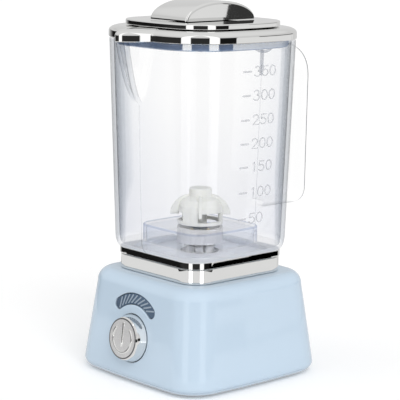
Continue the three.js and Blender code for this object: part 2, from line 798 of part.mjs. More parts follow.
// Half width and corner radius of the jug's outside at a height, with its turned-under foot
function jugShapeAt(z) {
  const rise = Math.min(1, Math.max(0, (z - jugBottom) / jugRound));
  const round = Math.sqrt(1 - (1 - rise) * (1 - rise));
  const climb = Math.max(0, (z - jugBottom - jugRound) / (jugHeight - jugRound));
  const half = THREE.MathUtils.lerp(jugFootHalf, jugLowHalf, round) + jugSpread * climb;
  const corner = THREE.MathUtils.lerp(jugFootCorner, jugLowCorner, round)
    + (jugTopCorner - jugLowCorner) * climb;
  const side = THREE.MathUtils.lerp(jugFootSideRadius, jugSideRadius, round);
  return { half, corner, side };
}

// Pushes the front of a section out into the spout
function withSpout(points, z, widthInset = 0) {
  const height = Math.min(1, Math.max(0, (z - spoutApex) / spoutDrop));
  if (height === 0) return points;
  const reach = spoutReach * height ** spoutReachPower;
  const halfWidth = spoutHalfWidth * height ** spoutWidthPower - widthInset;
  return points.map((point) => {
    const across = Math.min(1, Math.abs(point.x) / halfWidth);
    const push = point.y < 0 ? reach * (1 - across ** spoutRidgePower) : 0;
    return new THREE.Vector2(point.x, point.y - push);
  });
}

function jugSection(z, inset) {
  const { half, corner, side } = jugShapeAt(z);
  const points = bowedSquare(half - inset, side - inset, corner - inset, largeCornerSteps, spoutSteps);
  return withSpout(points, z, inset / 2);
}

function jugSections(inset, lowest, highest) {
  const foot = jugFootShares.map((share) => jugBottom + jugRound * share);
  const spout = spoutShares.map((share) => spoutApex + spoutDrop * share);
  const middle = (jugBottom + jugRound + spoutApex) / 2;
  const heights = [...foot, middle, ...spout].filter((z) => z > lowest && z < highest);
  return [lowest, ...heights, highest].map((z) => ({ z, points: jugSection(z, inset) }));
}

// The handle's middle line, out from the wall, down and back, in the plane x = 0
function handlePath() {
  const at = (y, z) => new THREE.Vector3(0, y, z);
  const topRoot = at(jugTopHalf - jugWall / 2, jugRim - handleRootDrop);
  const lowZ = jugBottom + handleLowHeight;
  const lowRoot = at(jugShapeAt(lowZ).half - jugWall / 2, lowZ);
  const shoulder = at(handleShoulderReach, jugRim - handleShoulderDrop);
  const upperBend = at(handleReach, jugRim - handleBendDrop);
  const lowerBend = at(handleLowReach, lowZ + handleLowBend);
  const lowerTurn = at(handleLowReach - handleLowBend, lowZ);
  const path = new THREE.CurvePath();
  const upperCorner = at(handleReach, jugRim - handleCornerDrop);
  path.add(new THREE.LineCurve3(topRoot, shoulder));
  path.add(new THREE.QuadraticBezierCurve3(shoulder, upperCorner, upperBend));
  path.add(new THREE.LineCurve3(upperBend, lowerBend));
  path.add(new THREE.QuadraticBezierCurve3(lowerBend, at(handleLowReach, lowZ), lowerTurn));
  path.add(new THREE.LineCurve3(lowerTurn, lowRoot));
  return path;
}

// A flat bar with rounded edges drawn along the handle's path
function handleBar() {
  const path = handlePath();
  const section = roundedBar(handleWidth / 2, handleThickness / 2, handleEdge);
  const count = section.length;
  const across = new THREE.Vector3(1, 0, 0);
  const positions = [];
  const index = [];
  for (let step = 0; step <= handleSteps; step += 1) {
    const at = step / handleSteps;
    const point = path.getPointAt(at);
    const outward = new THREE.Vector3().crossVectors(across, path.getTangentAt(at)).normalize();
    for (const { x, y } of section) {
      const place = point.clone().addScaledVector(across, x).addScaledVector(outward, y);
      positions.push(place.x, place.y, place.z);
    }
  }
  for (let step = 0; step < handleSteps; step += 1) {
    for (let i = 0; i < count; i += 1) {
      const [a, b] = [step * count + i, step * count + ((i + 1) % count)];
      index.push(a, b, b + count, a, b + count, a + count);
    }
  }
  const last = handleSteps * count;
  for (let i = 1; i + 1 < count; i += 1) {
    index.push(0, i + 1, i);
    index.push(last, last + i, last + i + 1);
  }
  const geometry = new THREE.BufferGeometry();
  geometry.setAttribute('position', new THREE.Float32BufferAttribute(positions, 3));
  geometry.setIndex(index);
  return solid(geometry);
}

function jugBody() {
  const outside = loft(jugSections(0, jugBottom, jugRim));
  const inside = loft(jugSections(jugWall, floorTop, jugRim).map((section, i, all) => (
    i === all.length - 1 ? { z: jugRim + overrun, points: section.points } : section)));
  const well = rod(wellRadius, floorTop - jugFloor / 2, wellTop, roundSteps);
  const wellHollow = rod(wellRadius - wellWall, jugBottom - overrun, wellRoof, roundSteps);
  const bushHole = rod(jugBushRadius + seatGap, jugBottom, wellTop + overrun);
  return cut(join(cut(outside, inside), well, handleBar()), wellHollow, bushHole);
}

function bladePlinth() {
  const section = (half, z) => ({
    z, points: bowedSquare(half, plinthSideRadius, plinthCornerRadius + half - plinthHalf),
  });
  const outside = loft([section(plinthHalf, plinthBottom), section(plinthHalf, plinthTop - plinthEdge),
    section(plinthHalf - plinthEdge / 3, plinthTop - plinthEdge / 3),
    section(plinthHalf - plinthEdge, plinthTop)]);
  const inside = loft([section(plinthHalf - plinthWall, plinthBottom - overrun),
    section(plinthHalf - plinthWall, plinthTop - plinthWall)]);
  const column = rod(plinthTubeRadius, plinthBottom, plinthTop - plinthWall / 2, roundSteps);
  const columnHole = rod(plinthTubeHoleRadius, plinthBottom - overrun, plinthTop - plinthWall, roundSteps);
  const topHole = rod(plinthHoleRadius, plinthBottom, plinthTop + overrun, roundSteps);
  return cut(join(cut(outside, inside), column), columnHole, topHole);
}

// Agitator and its shaft

const bushTop = wellTop + seatGap + jugBushFlange;
const sealBottom = bushTop + seatGap;
const sealTop = sealBottom + sealHeight;
const jugCouplingBottom = couplingTop + dogHeight + seatGap;
const jugCouplingTop = wellRoof - 2 * seatGap;
const agitatorBottom = plinthTop + agitatorLift;
const legBottom = agitatorBottom + agitatorRingHeight;
const skirtBottom = legBottom + legHeight;
const domeBottom = skirtBottom + skirtHeight;
const capBottom = domeBottom + domeHeight;
const agitatorTop = capBottom + capHeight;
const bladeShaftTop = agitatorTop - capHeight;

function jugBush() {
  const flange = tube(jugBushFlangeRadius, driveShaftRadius + seatGap, wellTop + seatGap, bushTop);
  const sleeve = tube(jugBushRadius, driveShaftRadius + seatGap, wellRoof, bushTop - seatGap,
    smallRoundSteps);
  return join(flange, sleeve);
}

function shaftSeal() {
  return tube(sealRadius, driveShaftRadius + seatGap, sealBottom, sealTop, smallRoundSteps);
}

function bladeShaft() {
  return rod(driveShaftRadius, jugCouplingBottom + seatGap, bladeShaftTop);
}

function jugCoupling() {
  const hub = rod(couplingRadius, jugCouplingBottom, jugCouplingTop, roundSteps);
  const bore = rod(driveShaftRadius + seatGap, jugCouplingBottom, jugCouplingTop + overrun);
  const halfPitch = 180 / dogCount;
  const hanging = dogs(couplingTop + seatGap, jugCouplingBottom + seatGap, halfPitch);
  return cut(join(hub, ...hanging), bore);
}

// A vane standing on a radius: a thin plate whose outer edge curves in towards the cap
function vane(angle) {
  const shape = new THREE.Shape();
  const low = skirtBottom - skirtHeight / 2;
  const high = low + vaneHeight;
  shape.moveTo(capRadius / 2, low + skirtHeight / 2);
  shape.lineTo(domeRadius, low);
  shape.lineTo(vaneReach, low);
  shape.bezierCurveTo(vaneReach, low + vaneHeight / 2, domeRadius + capEdge, high, capRadius, high);
  shape.lineTo(capRadius / 2, high);
  const options = { depth: vaneThickness, bevelEnabled: false, curveSegments: vaneSteps };
  const plate = new THREE.ExtrudeGeometry(shape, options).translate(0, 0, -vaneThickness / 2);
  return solid(plate.rotateX(quarter).rotateZ(angle));
}

function agitator() {
  const cup = turned([[0, skirtBottom], [agitatorRingRadius, skirtBottom],
    [agitatorRingRadius - capEdge / 2, domeBottom], [domeRadius, capBottom - capEdge],
    [capRadius + capEdge, capBottom], [capRadius, capBottom + capEdge / 2],
    [capRadius, agitatorTop - capEdge], [capRadius - capEdge / 3, agitatorTop - capEdge / 3],
    [capRadius - capEdge, agitatorTop], [0, agitatorTop]]);
  const hollowRadius = agitatorRingRadius - agitatorRingWall;
  const hollow = turned([[0, skirtBottom - overrun], [hollowRadius, skirtBottom - overrun],
    [hollowRadius, skirtBottom], [hollowRadius - capEdge, domeBottom],
    [domeRadius - agitatorRingWall, capBottom - capEdge - agitatorRingWall],
    [capRadius - agitatorRingWall / 2, capBottom - agitatorRingWall / 2],
    [0, capBottom - agitatorRingWall / 2]]);
  const ring = tube(agitatorRingRadius, hollowRadius, agitatorBottom, legBottom);
  const legBand = tube(agitatorRingRadius, hollowRadius, legBottom - agitatorRingHeight / 2,
    skirtBottom + skirtHeight / 2);
  const reach = 2 * agitatorRingRadius;
  const wedges = Array.from({ length: legCount }, (unused, i) => {
    const middle = firstLegAngle + (2 * Math.PI * i) / legCount;
    const corner = (angle) => new THREE.Vector2(reach * Math.cos(angle), reach * Math.sin(angle));
    const points = [new THREE.Vector2(), corner(middle - legHalfAngle), corner(middle + legHalfAngle)];
    return prism(new THREE.Shape(points), agitatorBottom, domeBottom);
  });
  const legs = wedges.map((wedge) => legBand.intersect(wedge));
  const vanes = Array.from({ length: vaneCount }, (unused, i) => (
    vane(firstVaneAngle + (2 * Math.PI * i) / vaneCount)));
  const post = rod(postRadius, sealTop + seatGap, capBottom + capHeight / 2);
  const bore = rod(driveShaftRadius + seatGap, sealTop - overrun, bladeShaftTop + seatGap);
  return cut(join(cut(join(cup, ...vanes), hollow), ring, ...legs, post), bore);
}

// Lid

const lidHalf = jugTopHalf + lidOverhang;
const plugHalf = jugTopHalf - jugWall - plugClearance;
const tierHalf = lidHalf - lidShelf;
const lidBottom = jugRim + seatGap;
const lidEdge = lidBottom + lidSkirtHeight;
const lidTop = lidEdge + lidRound;
const tierBottom = lidTop + lidCrown + seatGap;
const tierTop = tierBottom + tierHeight;
const gripBottom = tierTop + seatGap;
const plugTop = lidEdge - seatGap;

function lidSection(z, inset) {
  const points = bowedSquare(lidHalf - inset, jugSideRadius - inset, jugTopCorner - inset,
    largeCornerSteps, spoutSteps);
  return { z, points: withSpout(points, jugRim, inset / 2) };
}

function lidCover() {
  const round = lidRoundShares.map((share) => {
    const drawnIn = lidRoundWidth * (1 - Math.sqrt(1 - share * share));
    return lidSection(lidEdge + lidRound * share, drawnIn);
  });
  const crown = lidSection(lidTop + lidCrown, lidHalf - tierHalf + tierEdge);
  const outside = loft([lidSection(lidBottom, 0), lidSection(lidEdge, 0), ...round, crown]);
  const inside = loft([lidSection(lidBottom - overrun, lidWall), lidSection(lidEdge, lidWall)]);
  return cut(outside, inside);
}

function plugPoints(inset) {
  return bowedSquare(plugHalf - inset, jugSideRadius - inset, jugTopCorner - plugWall - inset);
}

function lidPlug() {
  const bottom = jugRim - plugDrop;
  const outside = loft([{ z: bottom, points: plugPoints(plugRibDepth) },
    { z: bottom + plugRibDepth, points: plugPoints(0) }, { z: plugTop, points: plugPoints(0) }]);
  const inside = loft([bottom - overrun, plugTop + overrun].map((z) => (
    { z, points: plugPoints(plugWall) })));
  const band = loft([bottom + plugRibWidth, jugRim].map((z) => ({ z, points: plugPoints(-plugRibDepth) })));
  const ribs = Array.from({ length: plugRibCount }, (unused, i) => (
    block(plugHalf / 2, 2 * plugHalf, -plugRibWidth / 2, plugRibWidth / 2, bottom, jugRim)
      .rotate([0, 0, (360 * (i + 1 / 2)) / plugRibCount])));
  const ribRing = ribs.map((rib) => rib.intersect(band));
  return cut(join(outside, ...ribRing), inside);
}

function lidTier() {
  const section = (inset, z) => ({
    z, points: bowedSquare(tierHalf - inset, tierSideRadius - inset, tierCornerRadius - inset),
  });
  return loft([section(tierEdge / 2, tierBottom), section(0, tierBottom + tierEdge / 2),
    section(0, tierTop - tierEdge), section(tierEdge / 3, tierTop - tierEdge / 3),
    section(tierEdge, tierTop)]);
}

// The grip: half an ellipse seen from the side, as wide as the lid's middle
function lidGrip() {
  const shape = new THREE.Shape();
  shape.absellipse(0, 0, gripHalfY - gripEdge, gripHeight - gripEdge, 0, Math.PI, false, 0);
  const options = {
    depth: 2 * (gripHalfX - gripEdge),
    bevelEnabled: true,
    bevelThickness: gripEdge,
    bevelSize: gripEdge,
    bevelSegments: gripEdgeSteps,
    curveSegments: gripSteps,
  };
  const arch = new THREE.ExtrudeGeometry(shape, options).translate(0, 0, -gripHalfX + gripEdge);
  const upright = solid(arch.rotateX(quarter).rotateZ(quarter));
  const room = block(-2 * gripHalfX, 2 * gripHalfX, -2 * gripHalfY, 2 * gripHalfY, 0, 2 * gripHeight);
  return upright.intersect(room).translate([0, 0, gripBottom]);
}

// Button, board and light on the front face, in the face's own frame

function pushButton() {
  const flangeBottom = flangeTop - buttonFlange;
  const outside = turned([[0, flangeBottom], [buttonFlangeRadius, flangeBottom],
    [buttonFlangeRadius, flangeTop], [buttonRootRadius, flangeTop], [buttonRootRadius, 0],
    [buttonFrontRadius, buttonReach - buttonBevel], [buttonFaceRadius, buttonReach],
    [0, buttonReach]], buttonSteps);
  const hollowRadius = buttonFaceRadius - buttonShell / 2;
  const hollowRootRadius = buttonRootRadius - buttonShell;
  const hollow = turned([[0, flangeBottom - overrun], [hollowRootRadius, flangeBottom - overrun],
    [hollowRootRadius, 0], [hollowRadius, buttonInnerTop], [0, buttonInnerTop]]);
  const stem = rod(buttonStemRadius, stemBottom, buttonInnerTop + buttonShell / 2);
  return join(cut(outside, hollow), stem);
}

class Helix extends THREE.Curve {
  getPoint(share) {
    const angle = 2 * Math.PI * springTurns * share;
    const low = springBottom + springWire;
    const height = low + (springTop - springWire - low) * share;
    return new THREE.Vector3(springRadius * Math.cos(angle), springRadius * Math.sin(angle), height);
  }
}

function buttonSpring() {
  const wire = new THREE.Shape();
  wire.absarc(0, 0, springWire, 0, 2 * Math.PI, false);
  const options = {
    steps: springTurns * springStepsPerTurn,
    extrudePath: new Helix(),
    curveSegments: springSides / 2,
  };
  return solid(new THREE.ExtrudeGeometry(wire, options));
}

function buttonSwitch() {
  return prism(rectangle(switchHalf, switchHalf), springBottom, springBottom + switchHeight);
}

function circuitBoard() {
  const back = -boardDepth - boardThickness;
  const board = block(-boardHalfWidth, boardHalfWidth, -boardLowReach, boardHighReach, back, -boardDepth);
  const holes = [-boardPostOffset, boardPostOffset].map((x) => (
    rod(boardScrewRadius + seatGap, back - overrun, overrun - boardDepth).translate([x, 0, 0])));
  return cut(board, ...holes);
}

function boardScrew() {
  const bottom = -boardDepth - boardThickness - seatGap - boardScrewHeadHeight;
  return screw(boardScrewLength, boardScrewHead, boardScrewHeadHeight, boardScrewRadius)
    .translate([0, 0, bottom]);
}

function arcLamp() {
  return turned([[0, springBottom], [lampRadius, springBottom],
    [lampRadius, springBottom + lampLength - lampRadius],
    [lampRadius * Math.SQRT1_2, springBottom + lampLength - lampRadius * (1 - Math.SQRT1_2)],
    [0, springBottom + lampLength]], smallRoundSteps);
}

function lightWindow() {
  const flangeBottom = flangeTop - arcFlange;
  const lens = prism(arcShape(arcHalfWidth - seatGap), flangeBottom, -arcRecess);
  const flange = prism(arcShape(arcHalfWidth + arcFlangeLip), flangeBottom, flangeTop);
  return join(lens, flange);
}

// The whole object

const model = new THREE.Group();

function add(name, body, finish, place = [0, 0, 0], parent = model) {
  const mesh = piece(name, body, finish);
  mesh.position.set(...place);
  parent.add(mesh);
  return mesh;
}

function addBase() {
  add('base_housing', baseHousing(), finishes.blue);
  add('base_cover', baseCover(), finishes.blue);
  cornersOf(footOffset, footOffset).forEach(([x, y], i) => (
    add(`foot_${i + 1}`, foot(), finishes.rubber, [x, y, 0])));
  cornersOf(screwBossX, screwBossY).forEach(([x, y], i) => (
    add(`cover_screw_${i + 1}`, screw(screwLength), finishes.steel, [x, y, coverBottom - seatGap / 2])));
  add('base_collar', baseCollar(), finishes.chrome);
}

function addBatteries() {
  const half = cellSpacing / 2;
  add('battery_cell_1', batteryCell(), finishes.grey, [0, -half, cellHeight]);
  const turnedCell = add('battery_cell_2', batteryCell(), finishes.grey, [0, half, cellHeight]);
  turnedCell.rotation.z = Math.PI;
  add('contact_bridge', contactPlate(2 * bayHalfY - 2 * bayClearance, [-half, half]), finishes.steel);
  [['contact_positive', half], ['contact_negative', -half]].forEach(([name, y]) => {
    const contact = add(name, contactPlate(singleContactWidth, [0]), finishes.steel, [0, y, 0]);
    contact.rotation.z = Math.PI;
  });
  add('battery_door', batteryDoor(), finishes.blue);
  add('door_screw', screw(screwLength - coverThickness), finishes.steel,
    [0, doorScrewY, coverBottom - seatGap]);
}

function addDrive() {
  add('gear_deck', gearDeck(), finishes.white);
  cornersOf(deckScrewOffset, deckScrewOffset).forEach(([x, y], i) => {
    const deckScrew = add(`deck_screw_${i + 1}`, screw(deckScrewLength), finishes.steel,
      [x, y, deckTop + seatGap + screwHeadHeight]);
    deckScrew.rotation.x = Math.PI;
  });
  add('drive_bush', driveBush(), finishes.brass);
  add('drive_shaft', driveShaft(), finishes.steel);
  add('shaft_retainer', shaftRetainer(), finishes.steel);
  add('drive_gear', driveWheel(), finishes.white);
  add('drive_coupling', driveCoupling(), finishes.grey);
  add('motor_can', motorCan(), finishes.steel);
  add('motor_cap', motorCap(), finishes.white);
  add('motor_shaft', motorShaft(), finishes.steel);
  add('motor_pinion', motorPinion(), finishes.brass);
}

function addFrontFace() {
  add('power_button', pushButton(), finishes.chrome, [0, 0, 0], frontFace);
  add('button_spring', buttonSpring(), finishes.steel, [0, 0, 0], frontFace);
  add('button_switch', buttonSwitch(), finishes.grey, [0, 0, 0], frontFace);
  add('circuit_board', circuitBoard(), finishes.green, [0, 0, 0], frontFace);
  [-boardPostOffset, boardPostOffset].forEach((x, i) => (
    add(`board_screw_${i + 1}`, boardScrew(), finishes.steel, [x, 0, 0], frontFace)));
  add('arc_lamp', arcLamp(), finishes.white, [0, lampHeight, 0], frontFace);
  add('light_window', lightWindow(), finishes.smoke, [0, 0, 0], frontFace);
  model.add(frontFace);
}

function addJug() {
  add('jug_ring', jugRing(), finishes.chrome);
  add('jug_body', jugBody(), finishes.clear);
  add('blade_plinth', bladePlinth(), finishes.clear);
  add('jug_bush', jugBush(), finishes.brass);
  add('shaft_seal', shaftSeal(), finishes.rubber);
  add('blade_shaft', bladeShaft(), finishes.steel);
  add('jug_coupling', jugCoupling(), finishes.grey);
  add('agitator', agitator(), finishes.milky);
}

function addLid() {
  add('lid_cover', lidCover(), finishes.chrome);
  add('lid_plug', lidPlug(), finishes.chrome);
  add('lid_tier', lidTier(), finishes.chrome);
  add('lid_grip', lidGrip(), finishes.chrome);
}

addBase();
addBatteries();
addDrive();
addFrontFace();
addJug();
addLid();

// The origin is on the table, under the middle of the whole object
model.updateMatrixWorld(true);
const middle = new THREE.Box3().setFromObject(model).getCenter(new THREE.Vector3());
model.position.y = -middle.y;

export default model;
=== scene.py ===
# Looks of the toy blender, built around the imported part. Lengths below are in millimetres and
# become metres when a mesh is made. Heights and the jug's axis are those of the part.
import json
import math

import bmesh
import bpy
from mathutils import Matrix, Vector


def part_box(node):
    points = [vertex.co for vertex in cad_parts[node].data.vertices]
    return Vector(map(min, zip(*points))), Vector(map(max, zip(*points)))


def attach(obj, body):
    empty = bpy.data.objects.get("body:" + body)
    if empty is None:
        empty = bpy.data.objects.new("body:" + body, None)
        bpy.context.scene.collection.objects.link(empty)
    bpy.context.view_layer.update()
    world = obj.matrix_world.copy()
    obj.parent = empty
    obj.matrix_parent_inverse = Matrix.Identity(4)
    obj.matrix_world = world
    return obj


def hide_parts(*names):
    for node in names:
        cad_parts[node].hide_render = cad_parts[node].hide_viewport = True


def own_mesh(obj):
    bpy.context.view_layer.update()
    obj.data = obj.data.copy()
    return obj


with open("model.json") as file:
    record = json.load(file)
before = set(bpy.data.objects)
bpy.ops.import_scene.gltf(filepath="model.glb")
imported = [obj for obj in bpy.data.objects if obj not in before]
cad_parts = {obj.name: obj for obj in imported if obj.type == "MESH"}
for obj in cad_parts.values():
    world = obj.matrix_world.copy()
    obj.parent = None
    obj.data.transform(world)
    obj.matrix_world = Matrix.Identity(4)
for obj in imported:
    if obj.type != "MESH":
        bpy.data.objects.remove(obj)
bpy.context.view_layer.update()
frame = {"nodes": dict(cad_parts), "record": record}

MM = 0.001
QUARTER = math.pi / 2
FULL_TURN = 2 * math.pi
CORNERS = ((-1, -1), (1, -1), (1, 1), (-1, 1))
SEAT_GAP = 0.3
OVERRUN = 0.5
TIP = 0.01  # the radius at which a turned shape closes on its axis
FINE_ROUND = 0.1
WELD = 1e-5
SMOOTH_ANGLE = math.radians(32)
ROUND_STEPS = 96
SMALL_STEPS = 32
SIDE_STEPS = 28
CORNER_STEPS = 18
BAR_STEPS = 6
RIDGE_STEPS = 8
FILLET_STEPS = 5
FLAT_HOLD = 0.03

low_ring, high_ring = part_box("jug_ring")
AXIS_Y = (low_ring.y + high_ring.y) / 2  # the jug's axis, in metres


def heights(node):
    """Lowest and highest point of a CAD node in millimetres."""
    low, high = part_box(node)
    return low.z / MM, high.z / MM


# Shapes


def spaced(low, high, count):
    return [low + (high - low) * i / count for i in range(count + 1)]


def mix(a, b, share):
    return a + (b - a) * share


def bezier(a, b, c, share):
    return a.lerp(b, share).lerp(b.lerp(c, share), share)


def unit(angle):
    return Vector((math.cos(angle), math.sin(angle)))


def clock(angle):
    """A direction measured from straight up and turning to +X."""
    return Vector((math.sin(angle), math.cos(angle)))


def bowed_square(half, side_radius, corner_radius, front_steps=SIDE_STEPS):
    """Points round a square with bowed sides, the last side facing -Y."""
    sink = side_radius - half
    reach = side_radius - corner_radius
    corner = (math.sqrt(2 * reach * reach - sink * sink) - sink) / 2
    sweep = math.atan2(corner, corner + sink)
    points = []
    for side in range(4):
        turn = Matrix.Rotation(side * QUARTER, 2)
        steps = front_steps if side == 3 else SIDE_STEPS
        for i in range(steps):
            angle = sweep * (2 * i / steps - 1)
            x = -sink + side_radius * math.cos(angle)
            points.append(turn @ Vector((x, side_radius * math.sin(angle))))
        for i in range(CORNER_STEPS):
            angle = sweep + (QUARTER - 2 * sweep) * i / CORNER_STEPS
            x = corner + corner_radius * math.cos(angle)
            y = corner + corner_radius * math.sin(angle)
            points.append(turn @ Vector((x, y)))
    return points


def bar_outline(half_x, half_y, radius):
    """Points round an oblong with rounded corners."""
    points = []
    for i, (x, y) in enumerate(CORNERS):
        for step in range(BAR_STEPS + 1):
            angle = math.pi + QUARTER * (i + step / BAR_STEPS)
            points.append(Vector((x * (half_x - radius) + radius * math.cos(angle),
                                  y * (half_y - radius) + radius * math.sin(angle))))
    return points


def round_points(radius, like):
    """A circle with one point in the direction of each point of another outline."""
    return [point.normalized() * radius for point in like]


def level(points, z):
    return [Vector((point.x, point.y, z)) for point in points]


def rounded(points, steps=FILLET_STEPS):
    """A polyline of (u, v, radius) whose corners become arcs of the radius given.

    One more point beside each arc keeps the shading of the flat next to it flat.
    """
    result = []
    for i, (u, v, radius) in enumerate(points):
        here = Vector((u, v))
        if radius == 0 or i in (0, len(points) - 1):
            result.append(here)
            continue
        before = (Vector(points[i - 1][:2]) - here).normalized()
        after = (Vector(points[i + 1][:2]) - here).normalized()
        half_angle = before.angle(after) / 2
        back = radius / math.tan(half_angle)
        centre = here + (before + after).normalized() * radius / math.sin(half_angle)
        start = here + before * back - centre
        end = here + after * back - centre
        turn = start.angle_signed(end)
        result.append(here + before * (back + FLAT_HOLD))
        for step in range(steps + 1):
            arm = start.copy()
            arm.rotate(Matrix.Rotation(-turn * step / steps, 2))
            result.append(centre + arm)
        result.append(here + after * (back + FLAT_HOLD))
    return result


def loop_faces(rows, count, closed=False):
    """Quads between rows of points that each close on themselves."""
    faces = []
    for row in range(rows if closed else rows - 1):
        above = (row + 1) % rows
        for i in range(count):
            j = (i + 1) % count
            faces.append((row * count + i, row * count + j, above * count + j, above * count + i))
    return faces


def smooth(mesh):
    """Shades a mesh smooth, but for the edges where its faces turn sharply."""
    mesh.polygons.foreach_set("use_smooth", [True] * len(mesh.polygons))
    mesh.set_sharp_from_angle(angle=SMOOTH_ANGLE)


def make_mesh(name, rows, faces):
    mesh = bpy.data.meshes.new(name)
    mesh.from_pydata([tuple(point) for row in rows for point in row], [], faces)
    made = bmesh.new()
    made.from_mesh(mesh)
    bmesh.ops.remove_doubles(made, verts=made.verts, dist=WELD)
    bmesh.ops.recalc_face_normals(made, faces=made.faces)
    made.to_mesh(mesh)
    made.free()
    mesh.transform(Matrix.Scale(MM, 4))
    smooth(mesh)
    thing = bpy.data.objects.new(name, mesh)
    bpy.context.scene.collection.objects.link(thing)
    return thing


def rings(name, rows, closed=False):
    """A body through closed rows of points. Its ends are capped unless it closes on itself."""
    count = len(rows[0])
    faces = loop_faces(len(rows), count, closed)
    if not closed:
        faces.append(tuple(reversed(range(count))))
        last = (len(rows) - 1) * count
        faces.append(tuple(range(last, last + count)))
    return make_mesh(name, rows, faces)


def rings_with_discs(name, rows):
    """A shell with a roof: the two middle rows, above and below it, are closed off."""
    count = len(rows[0])
    faces = loop_faces(len(rows), count, closed=True)
    roof_row = len(rows) - 3
    start, middle, end = (row * count for row in (roof_row, roof_row + 1, roof_row + 2))
    faces = faces[:start] + faces[middle:]
    faces += [tuple(range(start, middle)), tuple(reversed(range(middle, end)))]
    return make_mesh(name, rows, faces)


def turned(name, profile, steps=ROUND_STEPS, closed=False):
    """A body turned about Z from (radius, height) points."""
    angles = [FULL_TURN * i / steps for i in range(steps)]
    rows = [[Vector((radius * math.cos(a), radius * math.sin(a), height)) for a in angles]
            for radius, height in profile]
    return rings(name, rows, closed)


def block(name, low, high, corner):
    """A block with rounded upright edges, between two opposite corners."""
    half_x, half_y = (high[0] - low[0]) / 2, (high[1] - low[1]) / 2
    centre = Vector(((high[0] + low[0]) / 2, (high[1] + low[1]) / 2))
    outline = [point + centre for point in bar_outline(half_x, half_y, corner)]
    return rings(name, [level(outline, low[2]), level(outline, high[2])])


def extruded(name, outline, low, high, edge):
    """A flat shape standing between two heights, with its edges drawn in a little."""
    centre = sum(outline, Vector((0, 0))) / len(outline)
    inner = [point + (centre - point).normalized() * edge for point in outline]
    rows = [level(inner, low), level(outline, low + edge), level(outline, high - edge), level(inner, high)]
    return rings(name, rows)


RIDGE_SINK = 0.15


def ridge(name, line, half_width, rise):
    """A rounded bead along a flat line of points, with round ends, standing on z = 0."""
    count = len(line)
    ends = [math.sin(QUARTER * i / RIDGE_STEPS) for i in range(1, RIDGE_STEPS)]
    first = (line[1] - line[0]).normalized()
    last = (line[-1] - line[-2]).normalized()
    stations = [(line[0] - first * half_width * math.sqrt(1 - e * e), first, e) for e in ends]
    for i, point in enumerate(line):
        along = (line[min(i + 1, count - 1)] - line[max(i - 1, 0)]).normalized()
        stations.append((point, along, 1))
    stations += [(line[-1] + last * half_width * math.sqrt(1 - e * e), last, e) for e in reversed(ends)]
    rows = []
    for point, along, scale in stations:
        across = Vector((-along.y, along.x)) * half_width * scale
        row = [Vector((*(point + across * math.cos(a)), rise * scale * math.sin(a)))
               for a in spaced(0, math.pi, RIDGE_STEPS)]
        row += level([point - across, point + across], -RIDGE_SINK)
        rows.append(row)
    return rings(name, rows)


def moved(thing, x=0, y=0, z=0):
    thing.data.transform(Matrix.Translation((x * MM, y * MM, z * MM)))
    return thing


def on_axis(thing):
    """Moves a piece that was made about the origin to the jug's axis."""
    thing.data.transform(Matrix.Translation((0, AXIS_Y, 0)))
    return thing


def use_boolean(thing, tool, operation):
    """Works on a piece with another object, which is then removed."""
    change = thing.modifiers.new("change", "BOOLEAN")
    change.operation = operation
    change.solver = "EXACT"
    change.object = tool
    bpy.context.view_layer.update()
    graph = bpy.context.evaluated_depsgraph_get()
    mesh = bpy.data.meshes.new_from_object(thing.evaluated_get(graph))
    old = thing.data
    thing.modifiers.clear()
    thing.data = mesh
    mesh.name = thing.name
    bpy.data.meshes.remove(old)
    bpy.data.objects.remove(tool)
    smooth(mesh)


def cut(thing, tool):
    use_boolean(thing, tool, "DIFFERENCE")


def join(thing, tool):
    use_boolean(thing, tool, "UNION")


def dress(thing, body, material, slot, *nodes):
    """Gives a piece its material, its body and the nodes it stands for."""
    thing.data.materials.clear()
    thing.data.materials.append(material)
    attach(thing, body)
    if nodes:
        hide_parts(*nodes)


def use_where(thing, material, test):
    """Gives the faces that pass a test another material."""
    thing.data.materials.append(material)
    for face in thing.data.polygons:
        if test(face):
            face.material_index = len(thing.data.materials) - 1


# Base

BOTTOM_ROUND = 4
BASE_HALF = 44.5
BASE_TAPER = 0.1225
BASE_SIDE_RADIUS = 500
BASE_CORNER_RADIUS = 15.5
BASE_WALL = 2.2
SHOULDER_ROUND = 6.5
DECK_OPENING_HALF = 22.2
DECK_OPENING_CORNER = 8
FOOT_ROWS = 3
SIDE_ROWS = 8
SHOULDER_ROWS = 14
INNER_SHOULDER_ROWS = 8

COVER_LOW = heights("base_cover")[0]
HOUSING_LOW, HOUSING_TOP = heights("base_housing")
SHOULDER_LOW = HOUSING_TOP - SHOULDER_ROUND
STRAIGHT_LOW = COVER_LOW + BOTTOM_ROUND


def base_half_at(z):
    below = max(0, STRAIGHT_LOW - z) / BOTTOM_ROUND
    lean = max(0, z - STRAIGHT_LOW) * BASE_TAPER
    return BASE_HALF - lean - BOTTOM_ROUND * (1 - math.sqrt(1 - below * below))


def base_row(z, inset=0):
    half = base_half_at(min(z, SHOULDER_LOW)) - inset
    return level(bowed_square(half, BASE_SIDE_RADIUS - inset, BASE_CORNER_RADIUS - inset), z)


BUTTON_HEIGHT = 22
FACE_ORIGIN = Vector((0, -base_half_at(BUTTON_HEIGHT), BUTTON_HEIGHT))
FACE_TURN = Matrix.Rotation(QUARTER - math.atan(BASE_TAPER), 4, "X")
FACE_PLACE = Matrix.Translation(FACE_ORIGIN * MM + Vector((0, AXIS_Y, 0))) @ FACE_TURN

BUTTON_HOLE_RADIUS = 11.5
HOLE_LIP = 0.3
ARC_RADIUS = 18.4
ARC_HALF_WIDTH = 2.8
ARC_START = math.radians(-38.5)
ARC_END = math.radians(40)
ARC_STEPS = 48
CUT_DEPTH = 6
CUT_RISE = 3


def on_face(thing):
    """Moves a piece that was made in the front face's own frame to that face."""
    thing.data.transform(FACE_PLACE)
    return thing


